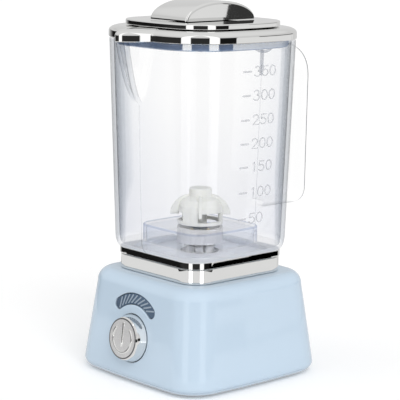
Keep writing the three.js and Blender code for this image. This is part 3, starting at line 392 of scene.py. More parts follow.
def arc_cap(place, first, half_width):
    """Half a circle round one end of the arc slot."""
    centre = unit(place) * ARC_RADIUS
    return [centre + unit(first + math.pi * i / CORNER_STEPS) * half_width for i in range(1, CORNER_STEPS)]


def arc_outline(half_width):
    """Points round the arc slot, whose middle line is part of a circle round the button."""
    start, end = QUARTER - ARC_END, QUARTER - ARC_START
    outer = [unit(a) * (ARC_RADIUS + half_width) for a in spaced(start, end, ARC_STEPS)]
    inner = [unit(a) * (ARC_RADIUS - half_width) for a in spaced(end, start, ARC_STEPS)]
    return outer + arc_cap(end, end, half_width) + inner + arc_cap(start, start + math.pi, half_width)


def base_housing(material):
    rows = [base_row(z) for z in spaced(HOUSING_LOW, STRAIGHT_LOW, FOOT_ROWS)]
    rows += [base_row(z) for z in spaced(STRAIGHT_LOW, SHOULDER_LOW, SIDE_ROWS)[1:]]
    for angle in spaced(0, QUARTER, SHOULDER_ROWS)[1:]:
        drawn_in = SHOULDER_ROUND * (1 - math.cos(angle))
        rows.append(base_row(SHOULDER_LOW + SHOULDER_ROUND * math.sin(angle), drawn_in))
    opening = bowed_square(DECK_OPENING_HALF, BASE_SIDE_RADIUS, DECK_OPENING_CORNER)
    rows += [level(opening, HOUSING_TOP), level(opening, HOUSING_TOP - BASE_WALL)]
    inner_round = SHOULDER_ROUND - BASE_WALL
    for angle in spaced(0, QUARTER, INNER_SHOULDER_ROWS):
        drawn_in = BASE_WALL + inner_round * (1 - math.sin(angle))
        rows.append(base_row(SHOULDER_LOW + inner_round * math.cos(angle), drawn_in))
    rows += [base_row(STRAIGHT_LOW, BASE_WALL), base_row(HOUSING_LOW, BASE_WALL)]
    housing = on_axis(rings("housing", rows, closed=True))
    hole = [(BUTTON_HOLE_RADIUS, -CUT_DEPTH), (BUTTON_HOLE_RADIUS, -HOLE_LIP),
            (BUTTON_HOLE_RADIUS + HOLE_LIP + CUT_RISE, CUT_RISE)]
    cut(housing, on_face(turned("hole", hole)))
    slot = ((0, -CUT_DEPTH), (0, -HOLE_LIP), (HOLE_LIP + CUT_RISE / 2, CUT_RISE / 2))
    slot_rows = [level(arc_outline(ARC_HALF_WIDTH + grow), z) for grow, z in slot]
    cut(housing, on_face(rings("slot", slot_rows)))
    dress(housing, "base", material, "blue_plastic", "base_housing")


COVER_SEAM = 0.08
COVER_HIGH = HOUSING_LOW - COVER_SEAM
COVER_RIB_HEIGHT = 2.2
COVER_RIB = 1.4
COVER_ROWS = 5
BAY_HALF_X = 27.75
BAY_HALF_Y = 15.1
BAY_WALL = 1.3
BAY_CORNER = 1.5
BAY_INNER_CORNER = 0.6
BAY_TOP = heights("base_cover")[1] - BAY_WALL
DOOR_GAP = 0.2
DOOR_LOW, DOOR_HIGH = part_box("battery_door")
DOOR_BOSS_HEIGHT = 8
DOOR_BORE_HEIGHT = 6
TONGUE_HALF_WIDTH = 5
SCREW_X = 33.05
SCREW_Y = 12
SCREW_HEAD_RADIUS = 2.6
SCREW_HEAD_HEIGHT = 1.4
SCREW_HOLE_RADIUS = 2.85
SCREW_SHANK_RADIUS = 1.2
SCREW_BOSS_RADIUS = 3.4


def base_cover(material):
    """The bottom plate with its rib, its battery bay and the boss for the door's screw."""
    inset = BASE_WALL + SEAT_GAP
    rib_top = COVER_HIGH + COVER_RIB_HEIGHT
    rows = [base_row(z) for z in spaced(COVER_LOW, COVER_HIGH, COVER_ROWS)]
    rows += [base_row(COVER_HIGH, inset), base_row(rib_top, inset)]
    rows += [base_row(rib_top, inset + COVER_RIB), base_row(COVER_HIGH, inset + COVER_RIB)]
    cover = rings("bottom_cover", rows)
    below = COVER_LOW - OVERRUN
    within = COVER_LOW + OVERRUN
    x, y = BAY_HALF_X + BAY_WALL, BAY_HALF_Y + BAY_WALL
    join(cover, block("bay", (-x, -y, within), (x, y, BAY_TOP + BAY_WALL), BAY_CORNER))
    boss_y = -y - SCREW_BOSS_RADIUS + SEAT_GAP
    boss = [(SCREW_BOSS_RADIUS, within), (SCREW_BOSS_RADIUS, COVER_HIGH + DOOR_BOSS_HEIGHT)]
    join(cover, moved(turned("boss", boss, SMALL_STEPS), y=boss_y))
    hollow_low, hollow_high = (-BAY_HALF_X, -BAY_HALF_Y, below), (BAY_HALF_X, BAY_HALF_Y, BAY_TOP)
    cut(cover, block("hollow", hollow_low, hollow_high, BAY_INNER_CORNER))
    slot_low = (-TONGUE_HALF_WIDTH, (DOOR_LOW.y - AXIS_Y) / MM - DOOR_GAP, below)
    slot_high = (TONGUE_HALF_WIDTH, -BAY_HALF_Y + OVERRUN, DOOR_HIGH.z / MM + SEAT_GAP)
    cut(cover, block("slot", slot_low, slot_high, BAY_INNER_CORNER))
    bore = SCREW_SHANK_RADIUS + SEAT_GAP
    head_top = COVER_LOW + SCREW_HEAD_HEIGHT
    hole = [(SCREW_HOLE_RADIUS, below), (SCREW_HOLE_RADIUS, head_top), (bore, head_top),
            (bore, COVER_HIGH + OVERRUN)]
    for x, y in CORNERS:
        cut(cover, moved(turned("screw_hole", hole, SMALL_STEPS), x * SCREW_X, y * SCREW_Y))
    door_bore = [(bore, COVER_LOW), (bore, COVER_HIGH + DOOR_BORE_HEIGHT)]
    cut(cover, moved(turned("bore", door_bore, SMALL_STEPS), y=boss_y))
    dress(on_axis(cover), "base", material, "blue_plastic", "base_cover")


SCREW_DOME_SHARE = 0.75
SCREW_DOME_DROP = 0.1
SCREW_DOME_ROUND = 0.5
SCREW_SIDE_SHARE = 0.6
SCREW_SIDE_ROUND = 0.3
SCREW_POINT = 1.2
SCREW_POINT_ROUND = 0.2
CROSS_HALF_WIDTH = 0.32
CROSS_REACH_SHARE = 0.62
CROSS_DEPTH = 0.8
CROSS_CORNER = 0.1


def screw(node, body, material, faces_up=False):
    """A screw with a domed head and a cross recess, in the place of a plain one."""
    low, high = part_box(node)
    centre = (low + high) / 2
    length = (high.z - low.z) / MM
    radius = (high.x - low.x) / 2 / MM
    shank = radius * SCREW_SHANK_RADIUS / SCREW_HEAD_RADIUS
    head = SCREW_HEAD_HEIGHT
    profile = [(TIP, 0, 0), (radius * SCREW_DOME_SHARE, SCREW_DOME_DROP, SCREW_DOME_ROUND),
               (radius, head * SCREW_SIDE_SHARE, SCREW_SIDE_ROUND), (radius, head, FINE_ROUND),
               (shank, head, FINE_ROUND), (shank, length - SCREW_POINT, SCREW_POINT_ROUND), (TIP, length, 0)]
    thing = turned(node + "_detailed", rounded(profile), SMALL_STEPS)
    reach = radius * CROSS_REACH_SHARE
    for turn in (0, QUARTER):
        arm = block("arm", (-reach, -CROSS_HALF_WIDTH, -OVERRUN), (reach, CROSS_HALF_WIDTH, CROSS_DEPTH),
                    CROSS_CORNER)
        arm.data.transform(Matrix.Rotation(turn, 4, "Z"))
        cut(thing, arm)
    end = Vector((centre.x, centre.y, high.z if faces_up else low.z))
    flip = Matrix.Rotation(math.pi if faces_up else 0, 4, "X")
    thing.data.transform(Matrix.Translation(end) @ flip)
    dress(thing, body, material, "steel", node)


FOOT_RADIUS = 8.6
FOOT_OFFSET = 24.6
FOOT_EDGE = 0.5
FOOT_STEPS = 64


def feet(material):
    top = heights("foot_1")[1]
    profile = rounded([(TIP, 0, 0), (FOOT_RADIUS, 0, FOOT_EDGE),
                       (FOOT_RADIUS, top, FINE_ROUND), (TIP, top, 0)])
    for index, (x, y) in enumerate(CORNERS, 1):
        thing = on_axis(turned(f"soft_foot_{index}", profile, FOOT_STEPS))
        moved(thing, x * FOOT_OFFSET, y * FOOT_OFFSET)
        dress(thing, "base", material, "soft_rubber", f"foot_{index}")


COLLAR_HALF = 29.88
COLLAR_SIDE_RADIUS = 30000
COLLAR_CORNER_RADIUS = 10.4
COLLAR_WALL = 2
COLLAR_EDGE = 0.3
COLLAR_LAP = 4
PLATEAU_HALF = 24.2
PLATEAU_CORNER = 7
PLATEAU_HEIGHT = 1.8
PLATEAU_EDGE = 0.4
COUPLING_HOLE_RADIUS = 9.4


def profile_rows(profile, half, corner, side=COLLAR_SIDE_RADIUS):
    """Rows of a square whose outline is drawn in by the first number of each point."""
    return [level(bowed_square(half - inset, side - inset, corner - inset), z) for inset, z in profile]


def base_collar(material, seat_material):
    low, high = heights("base_collar")
    top = high - PLATEAU_HEIGHT
    roof = top - COLLAR_WALL
    outer = rounded([(0, low, 0), (0, top, COLLAR_EDGE), (COLLAR_LAP, top, 0)])
    seat = rounded([(0, top, 0), (0, high, PLATEAU_EDGE), (COLLAR_LAP, high, 0)])
    inner = [(COLLAR_WALL + COLLAR_LAP, roof), (COLLAR_WALL, roof), (COLLAR_WALL, low)]
    like = bowed_square(PLATEAU_HALF, COLLAR_SIDE_RADIUS, PLATEAU_CORNER)
    hole = round_points(COUPLING_HOLE_RADIUS, like)
    rows = profile_rows(outer, COLLAR_HALF, COLLAR_CORNER_RADIUS)
    rows += profile_rows(seat, PLATEAU_HALF, PLATEAU_CORNER)
    rows += [level(hole, high), level(hole, roof)]
    rows += profile_rows(inner, COLLAR_HALF, COLLAR_CORNER_RADIUS)
    thing = rings("collar", rows, closed=True)
    dress(thing, "base", material, "chrome_plate", "base_collar")
    covered = (PLATEAU_HALF + SEAT_GAP) * MM
    use_where(thing, seat_material, lambda face: max(map(abs, face.center[:2])) < covered)
    on_axis(thing)


RING_HALF = 30.18
RING_INNER_HALF = 25
RING_INNER_CORNER = 8
RING_EDGE = 0.12
RING_LAP = 1
FACING_UP = 0.9


def faces_axis(face):
    return face.normal.xy.dot(face.center.xy) < 0


def jug_ring(material, seat_material):
    low, high = heights("jug_ring")
    outer = rounded([(RING_LAP, low, 0), (0, low, RING_EDGE), (0, high, RING_EDGE), (RING_LAP, high, 0)])
    rows = profile_rows(outer, RING_HALF, COLLAR_CORNER_RADIUS)
    rows += profile_rows([(0, high), (0, low)], RING_INNER_HALF, RING_INNER_CORNER)
    thing = rings("plated_ring", rows, closed=True)
    dress(thing, "jug", material, "chrome_plate", "jug_ring")
    use_where(thing, seat_material, lambda face: face.normal.z > FACING_UP or faces_axis(face))
    on_axis(thing)


# Jug

JUG_WALL = 2
JUG_FLOOR = 2.2
JUG_FOOT = (30.8, 10.5, 220)  # half width, corner radius, side radius
JUG_LOW = (36.5, 24, 125)
JUG_TOP_HALF = 39.44
JUG_TOP_CORNER = 26
JUG_ROUND = 7
JUG_HEIGHT = 100
JUG_LIP = 0.7
WELL_RADIUS = 9
WELL_HEIGHT = 4
WELL_WALL = 1.6
BUSH_HOLE_RADIUS = 3.3
SPOUT_DROP = 28
SPOUT_REACH = 12.4
SPOUT_HALF_WIDTH = 10.4
SPOUT_LEAST_WIDTH = 0.5
SPOUT_REACH_POWER = 0.42
SPOUT_WIDTH_POWER = 0.5
SPOUT_BULGE_POWER = 1.6
SPOUT_FRONT_STEPS = 64
JUG_FOOT_ROWS = 10
JUG_FLOOR_ROWS = 6
JUG_WALL_ROWS = 8
JUG_SPOUT_ROWS = 20
JUG_LIP_ROWS = 8
JUG_LOW_Z = heights("jug_body")[0]
JUG_RIM = JUG_LOW_Z + JUG_HEIGHT
SPOUT_APEX = JUG_RIM - SPOUT_DROP


def jug_shape(z):
    """Half width, corner radius and side radius of the jug's outline at a height."""
    rise = min(1, max(0, (z - JUG_LOW_Z) / JUG_ROUND))
    share = math.sqrt(1 - (1 - rise) ** 2)
    climb = max(0, (z - JUG_LOW_Z - JUG_ROUND) / (JUG_HEIGHT - JUG_ROUND))
    half, corner, side = (mix(foot, low, share) for foot, low in zip(JUG_FOOT, JUG_LOW))
    half += (JUG_TOP_HALF - JUG_LOW[0]) * climb
    corner += (JUG_TOP_CORNER - JUG_LOW[1]) * climb
    return half, corner, side


def with_spout(points, z, width_inset=0):
    """Pushes the front of an outline out into the spout."""
    height = min(1, max(0, (z - SPOUT_APEX) / SPOUT_DROP))
    if height == 0:
        return points
    reach = SPOUT_REACH * height ** SPOUT_REACH_POWER
    half_width = max(SPOUT_LEAST_WIDTH, SPOUT_HALF_WIDTH * height ** SPOUT_WIDTH_POWER - width_inset)
    result = []
    for point in points:
        across = min(1, abs(point.x) / half_width)
        push = reach * (1 - across ** SPOUT_BULGE_POWER) if point.y < 0 else 0
        result.append(Vector((point.x, point.y - push)))
    return result


def jug_row(z, inset=0):
    half, corner, side = jug_shape(z)
    points = bowed_square(half - inset, side - inset, corner - inset, SPOUT_FRONT_STEPS)
    return level(with_spout(points, z, inset / 2), z)


def squared_steps(low, high, count):
    """Heights that lie closer together at the low end."""
    return [low + (high - low) * share ** 2 for share in spaced(0, 1, count)]


def jug_rows():
    floor_top = JUG_LOW_Z + JUG_FLOOR
    well_top = floor_top + WELL_HEIGHT
    well_roof = well_top - WELL_WALL
    round_top = JUG_LOW_Z + JUG_ROUND
    lip_low = JUG_RIM - JUG_LIP
    like = [point.xy for point in jug_row(JUG_LOW_Z)]
    hollow, hole, well = (round_points(radius, like)
                          for radius in (WELL_RADIUS - WELL_WALL, BUSH_HOLE_RADIUS, WELL_RADIUS))
    foot = squared_steps(JUG_LOW_Z, round_top, JUG_FOOT_ROWS)
    inner_foot = squared_steps(floor_top, round_top, JUG_FLOOR_ROWS)
    wall = spaced(round_top, SPOUT_APEX, JUG_WALL_ROWS)
    spout = squared_steps(SPOUT_APEX, lip_low, JUG_SPOUT_ROWS)
    rows = [level(hole, well_roof), level(hollow, well_roof), level(hollow, JUG_LOW_Z)]
    rows += [jug_row(z) for z in foot + wall[1:] + spout[1:]]
    for angle in spaced(0, math.pi, JUG_LIP_ROWS)[1:-1]:
        rows.append(jug_row(lip_low + JUG_LIP * math.sin(angle), JUG_WALL * (1 - math.cos(angle)) / 2))
    rows += [jug_row(z, JUG_WALL) for z in reversed(inner_foot[:-1] + wall[:-1] + spout)]
    rows += [level(well, floor_top), level(well, well_top), level(hole, well_top)]
    return rows


HANDLE_WIDTH = 10
HANDLE_THICKNESS = 3.2
HANDLE_EDGE = 1.5
HANDLE_REACH = 65.8
HANDLE_LOW_REACH = 65.2
HANDLE_START = 0.5
HANDLE_ROOT_DROP = 3.4
HANDLE_SHOULDER_REACH = 53
HANDLE_SHOULDER_DROP = 6.2
HANDLE_CORNER_DROP = 9.6
HANDLE_UPPER_DROP = 22
HANDLE_LOW_RISE = 17
HANDLE_LOW_TURN = 6
HANDLE_END_STEPS = 8
HANDLE_LONG_STEPS = 20
HANDLE_TURN_STEPS = 12


def handle_line():
    """Points of the handle's middle line in the plane x = 0."""
    low_z = JUG_LOW_Z + HANDLE_LOW_RISE
    wall = JUG_WALL / 2
    places = ((JUG_TOP_HALF - wall, JUG_RIM - HANDLE_ROOT_DROP),
              (HANDLE_SHOULDER_REACH, JUG_RIM - HANDLE_SHOULDER_DROP),
              (HANDLE_REACH, JUG_RIM - HANDLE_CORNER_DROP),
              (HANDLE_REACH, JUG_RIM - HANDLE_UPPER_DROP),
              (HANDLE_LOW_REACH, low_z + HANDLE_LOW_TURN),
              (HANDLE_LOW_REACH, low_z),
              (HANDLE_LOW_REACH - HANDLE_LOW_TURN, low_z),
              (jug_shape(low_z)[0] - wall, low_z))
    root, shoulder, corner, upper, lower, low_corner, low_turn, low_root = (Vector((0, *yz)) for yz in places)
    points = [root.lerp(shoulder, share) for share in spaced(0, 1, HANDLE_END_STEPS)]
    points += [bezier(shoulder, corner, upper, share) for share in spaced(0, 1, HANDLE_LONG_STEPS)[1:]]
    points += [upper.lerp(lower, share) for share in spaced(0, 1, HANDLE_LONG_STEPS)[1:]]
    points += [bezier(lower, low_corner, low_turn, share) for share in spaced(0, 1, HANDLE_TURN_STEPS)[1:]]
    points += [low_turn.lerp(low_root, share) for share in spaced(0, 1, HANDLE_END_STEPS)[1:]]
    return points


def handle_bar():
    line = handle_line()
    outline = bar_outline(HANDLE_WIDTH / 2, HANDLE_THICKNESS / 2, HANDLE_EDGE)
    across = Vector((1, 0, 0))
    rows = []
    for i, point in enumerate(line):
        tangent = (line[min(i + 1, len(line) - 1)] - line[max(i - 1, 0)]).normalized()
        outward = across.cross(tangent)
        rows.append([point + across * p.x + outward * p.y for p in outline])
    return rings("handle", rows)


def jug_body(material, handle_material, handle_inside_material):
    """The jug with its handle, whose outer faces get a darker painted edge shade than its inner ones."""
    thing = rings("jug", jug_rows(), closed=True)
    join(thing, handle_bar())
    dress(thing, "jug", material, "clear_plastic", "jug_body")
    start = (JUG_TOP_HALF + HANDLE_START) * MM
    middle = Vector((0, JUG_TOP_HALF, (JUG_LOW_Z + JUG_RIM) / 2)) * MM
    use_where(thing, handle_inside_material, lambda face: face.center.y > start)
    use_where(thing, handle_material,
              lambda face: face.center.y > start and face.normal.yz.dot((face.center - middle).yz) > 0)
    on_axis(thing)


PLINTH_HALF = 22.2
PLINTH_CORNER = 8
PLINTH_SIDE_RADIUS = 200
PLINTH_WALL = 1.5
PLINTH_EDGE = 0.9
PLINTH_INNER_EDGE = 0.5
PLINTH_LAP = 3
PLINTH_TUBE_RADIUS = 11
PLINTH_TUBE_HOLE = 9.5
PLINTH_HOLE_RADIUS = 6
UPRIGHT_FACE = 0.5
LEVEL_FACE = 0.95


def blade_plinth(material, tube_material, rim_material, inside_material):
    low, high = heights("blade_plinth")
    roof = high - PLINTH_WALL
    like = bowed_square(PLINTH_HALF, PLINTH_SIDE_RADIUS, PLINTH_CORNER)
    hole, bore, tube = (round_points(radius, like)
                        for radius in (PLINTH_HOLE_RADIUS, PLINTH_TUBE_HOLE, PLINTH_TUBE_RADIUS))
    outer = rounded([(0, low, 0), (0, high, PLINTH_EDGE), (PLINTH_LAP, high, 0)])
    inner = [(PLINTH_WALL + PLINTH_INNER_EDGE, roof), (PLINTH_WALL, roof - PLINTH_INNER_EDGE),
             (PLINTH_WALL, low)]
    rows = profile_rows(outer, PLINTH_HALF, PLINTH_CORNER, PLINTH_SIDE_RADIUS)
    rows += [level(hole, high), level(hole, roof), level(bore, roof), level(bore, low), level(tube, low),
             level(tube, roof)]
    rows += profile_rows(inner, PLINTH_HALF, PLINTH_CORNER, PLINTH_SIDE_RADIUS)
    thing = rings("plinth", rows, closed=True)
    dress(thing, "jug", material, "clear_plastic", "blade_plinth")
    reach = (PLINTH_TUBE_RADIUS + SEAT_GAP) * MM
    rim_low = roof * MM
    use_where(thing, tube_material,
              lambda face: face.center.xy.length < reach and abs(face.normal.z) < UPRIGHT_FACE)
    # The rim's faces take a darker blue-grey painted shade, and the faces towards the axis a lighter one.
    use_where(thing, rim_material, lambda face: face.center.z > rim_low and abs(face.normal.z) < LEVEL_FACE)
    use_where(thing, inside_material, lambda face: face.center.xy.length > reach and faces_axis(face))
    on_axis(thing)


# Agitator

AGITATOR_RING = 10.9
AGITATOR_WALL = 1.6
AGITATOR_RING_HEIGHT = 1.6
AGITATOR_EDGE = 0.3
LEG_COUNT = 3
LEG_HEIGHT = 4.2
LEG_HALF_ANGLE = math.radians(22)
LEG_STEPS = 12
LEG_TRIM = 0.05
LEG_SINK = 0.6
FIRST_LEG = math.radians(-70)
SKIRT_HEIGHT = 3
SKIRT_ROUND = 0.4
SKIRT_LEAN = 0.5
DOME_RADIUS = 8.6
DOME_HEIGHT = 4
DOME_DROP = 1
DOME_ROUND = 1.2
DOME_INNER_DROP = 2.6
DOME_INNER_ROUND = 1
DOME_INNER_LEAN = 1
CAP_RADIUS = 5.4
CAP_HEIGHT = 4.4
CAP_EDGE = 1
CAP_FOOT = 0.3
CAP_FOOT_ROUND = 0.5
CAP_ROOF = 0.8
POST_RADIUS = 3.2
POST_STEPS = 48
VANE_COUNT = 4
VANE_REACH = 14.4
VANE_HEIGHT = 9.5
VANE_THICKNESS = 1.6
VANE_EDGE = 0.25
VANE_STEPS = 16
VANE_ROOT_SHARE = 0.7
VANE_TOP_DROP = 1
VANE_ROOT_RISE = 3.2
VANE_BAND_RISE = 1.6
VANE_BAND_INSET = 1
VANE_FOOT_INSET = 0.6
FIRST_VANE = math.radians(48)
SHAFT_RADIUS = 1.8


def agitator_cup(skirt, inner, top):
    """The cup upside down: a skirt, a dome over it and a cap on top."""
    dome = skirt + SKIRT_HEIGHT
    cap = dome + DOME_HEIGHT
    outside = [(inner, skirt, 0), (AGITATOR_RING, skirt, SKIRT_ROUND),
               (AGITATOR_RING - SKIRT_LEAN, dome, DOME_ROUND), (DOME_RADIUS, cap - DOME_DROP, DOME_ROUND),
               (CAP_RADIUS, cap + CAP_FOOT, CAP_FOOT_ROUND), (CAP_RADIUS, top, CAP_EDGE), (TIP, top, 0)]
    roof = cap - CAP_ROOF
    inside = [(TIP, roof, 0), (CAP_RADIUS - CAP_ROOF, roof, CAP_FOOT_ROUND),
              (DOME_RADIUS - AGITATOR_WALL, cap - DOME_INNER_DROP, DOME_INNER_ROUND),
              (inner - DOME_INNER_LEAN, dome, DOME_INNER_ROUND), (inner, skirt, 0)]
    return turned("mixing_tool", rounded(outside) + rounded(inside)[:-1], closed=True)


def agitator_leg(index, low, high, inner):
    middle = FIRST_LEG + FULL_TURN * index / LEG_COUNT
    angles = spaced(middle - LEG_HALF_ANGLE, middle + LEG_HALF_ANGLE, LEG_STEPS)
    outline = [unit(a) * (AGITATOR_RING - LEG_TRIM) for a in angles]
    outline += [unit(a) * (inner + LEG_TRIM) for a in reversed(angles)]
    return rings("leg", [level(outline, low - LEG_SINK), level(outline, high + LEG_SINK)])


def agitator(material):
    foot, top = heights("agitator")
    cap = top - CAP_HEIGHT
    skirt = cap - DOME_HEIGHT - SKIRT_HEIGHT
    ring_high = skirt - LEG_HEIGHT
    ring_low = ring_high - AGITATOR_RING_HEIGHT
    inner = AGITATOR_RING - AGITATOR_WALL
    thing = agitator_cup(skirt, inner, top)
    band = [(inner, ring_low, 0), (AGITATOR_RING, ring_low, AGITATOR_EDGE),
            (AGITATOR_RING, ring_high, AGITATOR_EDGE), (inner, ring_high, 0)]
    join(thing, turned("band", rounded(band), closed=True))
    for i in range(LEG_COUNT):
        join(thing, agitator_leg(i, ring_high, skirt, inner))
    for i in range(VANE_COUNT):
        join(thing, vane(FIRST_VANE + QUARTER * i, skirt))
    post = [(SHAFT_RADIUS, foot), (POST_RADIUS, foot), (POST_RADIUS, cap), (SHAFT_RADIUS, cap)]
    join(thing, turned("post", post, POST_STEPS, closed=True))
    dress(on_axis(thing), "blade", material, "milky_plastic", "agitator")


def vane(angle, skirt):
    """A thin fin on a radius, whose outer edge curves in towards the cap."""
    low = skirt - SKIRT_HEIGHT / 2
    high = low + VANE_HEIGHT
    outer = [Vector((VANE_REACH, low)), Vector((VANE_REACH, low + VANE_HEIGHT / 2)),
             Vector((DOME_RADIUS + CAP_EDGE, high)), Vector((CAP_RADIUS, high))]
    curve = []
    for share in spaced(0, 1, VANE_STEPS):
        curve.append(bezier(*outer[:3], share).lerp(bezier(*outer[1:], share), share))
    root = CAP_RADIUS * VANE_ROOT_SHARE
    outline = [Vector((root, high - VANE_TOP_DROP)), Vector((root, low + VANE_ROOT_RISE)),
               Vector((AGITATOR_RING - VANE_BAND_INSET, low + VANE_BAND_RISE)),
               Vector((AGITATOR_RING - VANE_FOOT_INSET, low))] + curve
    thing = extruded("vane", outline, -VANE_THICKNESS / 2, VANE_THICKNESS / 2, VANE_EDGE)
    thing.data.transform(Matrix.Rotation(angle, 4, "Z") @ Matrix.Rotation(QUARTER, 4, "X"))
    return thing


# Lid

LID_HALF = 39.74
LID_SKIRT = 2.8
LID_ROUND = 2.6
LID_ROUND_WIDTH = 5
LID_WALL = 1.8
LID_EDGE = 0.3
LID_HOLD = 0.1
LID_ROUND_ROWS = 16
TIER_HALF = 32.26
TIER_CORNER = 20
TIER_SIDE = 110
TIER_EDGE = 0.6
TIER_LAP = 6
TIER_EDGE_STEPS = 8
PLUG_HALF = 36.36
PLUG_WALL = 1.6
PLUG_EDGE = 0.5
GRIP_HALF_X = 12.9
GRIP_HALF_Y = 21.8
GRIP_HEIGHT = 8.9
GRIP_EDGE = 1.3
GRIP_EDGE_STEPS = 6
GRIP_FLAT = 0.4
GRIP_STEPS = 64


def lid_row(z, inset=0):
    points = bowed_square(LID_HALF - inset, JUG_LOW[2] - inset, JUG_TOP_CORNER - inset, SPOUT_FRONT_STEPS)
    return level(with_spout(points, JUG_RIM, inset / 2), z)


def disc_row(row, z):
    """A row of half the size, round which a roof is closed."""
    return level([point.xy / 2 for point in row], z)


def lid_cover(material):
    low, high = heights("lid_cover")
    edge = low + LID_SKIRT
    top = edge + LID_ROUND
    crown_inset = LID_HALF - TIER_HALF + TIER_EDGE
    rows = [lid_row(low, LID_WALL), lid_row(low, LID_EDGE)]
    rows += [lid_row(z) for z in (low + LID_EDGE, low + LID_EDGE + LID_HOLD, edge - LID_HOLD, edge)]
    for angle in spaced(0, QUARTER, LID_ROUND_ROWS)[1:]:
        rows.append(lid_row(edge + LID_ROUND * math.sin(angle), LID_ROUND_WIDTH * (1 - math.cos(angle))))
    rows += [lid_row(mix(top, high, share), mix(LID_ROUND_WIDTH, crown_inset, share)) for share in (0.5, 1)]
    inner = lid_row(edge, LID_WALL)
    rows += [disc_row(rows[-1], high), disc_row(inner, edge), inner]
    thing = on_axis(rings_with_discs("lid_shell", rows))
    dress(thing, "lid", material, "chrome_plate", "lid_cover")


def lid_plug(material):
    low, high = heights("lid_plug")
    outer = [(PLUG_WALL, low), (PLUG_EDGE, low), (0, low + PLUG_EDGE), (0, high), (PLUG_WALL, high)]
    rows = profile_rows(outer, PLUG_HALF, JUG_TOP_CORNER - PLUG_WALL, JUG_LOW[2])
    dress(on_axis(rings("plug", rows, closed=True)), "lid", material, "chrome_plate", "lid_plug")


def lid_tier(material):
    low, high = heights("lid_tier")
    profile = [(TIER_LAP, low, 0), (0, low, TIER_EDGE / 2), (0, high, TIER_EDGE), (TIER_LAP, high, 0)]
    rows = profile_rows(rounded(profile, TIER_EDGE_STEPS), TIER_HALF, TIER_CORNER, TIER_SIDE)
    dress(on_axis(rings("tier", rows)), "lid", material, "chrome_plate", "lid_tier")


def lid_grip(material):
    """Half an ellipse from end to end, as wide as the lid's middle, with rounded long edges."""
    low = heights("lid_grip")[0]
    edge = [(GRIP_HALF_X - GRIP_EDGE * (1 - math.sin(a)), GRIP_EDGE * (1 - math.cos(a)))
            for a in spaced(0, QUARTER, GRIP_EDGE_STEPS)]
    side = [(GRIP_HALF_X, GRIP_EDGE + GRIP_FLAT)] + list(reversed(edge))
    across = side + [(-x, drawn) for x, drawn in reversed(side)]
    rows = []
    for x, drawn in across:
        row = []
        for angle in spaced(0, math.pi, GRIP_STEPS):
            y = (GRIP_HALF_Y - drawn) * math.cos(angle)
            z = (GRIP_HEIGHT - drawn) * math.sin(angle)
            row.append(Vector((x, y, low + max(0, z))))
        rows.append(row)
    dress(on_axis(rings("grip", rows)), "lid", material, "chrome_plate", "lid_grip")


# Button, symbol and lit arc, in the front face's own frame

BUTTON_ROOT = 11.2
BUTTON_ROOT_ROUND = 2
BUTTON_FRONT = 10.1
BUTTON_FACE = 9.4
BUTTON_FACE_ROUND = 0.25
BUTTON_REACH = 5.4
BUTTON_BEVEL = 0.9
BUTTON_BEVEL_ROUND = 0.4
BUTTON_FLANGE_RADIUS = 13.6
BUTTON_FLANGE = 1.3
BUTTON_FLANGE_TOP = -3
BUTTON_SHELL = 1.8
DISC_RADIUS = BUTTON_FACE - 0.35
DISC_SINK = 0.2
DISC_RISE = 0.05


def push_button(material, face_material):
    """A plated knob whose flat front is satin."""
    flange_low = BUTTON_FLANGE_TOP - BUTTON_FLANGE
    hollow = BUTTON_ROOT - BUTTON_SHELL
    inner_top = BUTTON_REACH - BUTTON_SHELL
    profile = [(hollow, flange_low, 0), (BUTTON_FLANGE_RADIUS, flange_low, 0),
               (BUTTON_FLANGE_RADIUS, BUTTON_FLANGE_TOP, 0), (BUTTON_ROOT, BUTTON_FLANGE_TOP, 0),
               (BUTTON_ROOT, 0, BUTTON_ROOT_ROUND),
               (BUTTON_FRONT, BUTTON_REACH - BUTTON_BEVEL, BUTTON_BEVEL_ROUND),
               (BUTTON_FACE, BUTTON_REACH, BUTTON_FACE_ROUND), (TIP, BUTTON_REACH, 0)]
    inside = [(TIP, inner_top, 0), (BUTTON_FACE - BUTTON_SHELL / 2, inner_top, 0), (hollow, 0, 0)]
    thing = on_face(turned("button", rounded(profile) + rounded(inside), closed=True))
    dress(thing, "button", material, "chrome_plate", "power_button")
    low, high = BUTTON_REACH - DISC_SINK, BUTTON_REACH + DISC_RISE
    disc = rounded([(TIP, low, 0), (DISC_RADIUS, low, 0), (DISC_RADIUS, high, DISC_RISE), (TIP, high, 0)])
    dress(on_face(turned("button_face", disc)), "button", face_material, "chrome_plate")


def on_button(thing):
    """Moves a flat piece to the front of the button."""
    return on_face(moved(thing, z=BUTTON_REACH))


GROOVE_RADIUS = 9.25
GROOVE_HALF_WIDTH = 0.36
GROOVE_RISE = 0.08


def face_groove(material):
    """A dark raised bead, painted shadow of the groove between the button's flat front and its edge."""
    circle = [clock(a) * GROOVE_RADIUS for a in spaced(0, FULL_TURN, ROUND_STEPS)]
    thing = ridge("face_groove", circle, GROOVE_HALF_WIDTH, GROOVE_RISE)
    dress(on_button(thing), "button", material, "chrome_plate")


SYMBOL_RADIUS = 6.6
SYMBOL_STROKE = 0.7
SYMBOL_RISE = 0.5
SYMBOL_GAP = math.radians(48)
SYMBOL_STEPS = 60
SYMBOL_BAR = (7.4, -3.4)
SYMBOL_BAR_STEPS = 6


def power_symbol(material):
    """A raised ring, open at the top, with a bar through its gap."""
    circle = [clock(a) * SYMBOL_RADIUS for a in spaced(SYMBOL_GAP, FULL_TURN - SYMBOL_GAP, SYMBOL_STEPS)]
    bar = [Vector((0, y)) for y in spaced(*SYMBOL_BAR, SYMBOL_BAR_STEPS)]
    for name, line in (("symbol_ring", circle), ("symbol_bar", bar)):
        dress(on_button(ridge(name, line, SYMBOL_STROKE, SYMBOL_RISE)), "button", material, "chrome_plate")


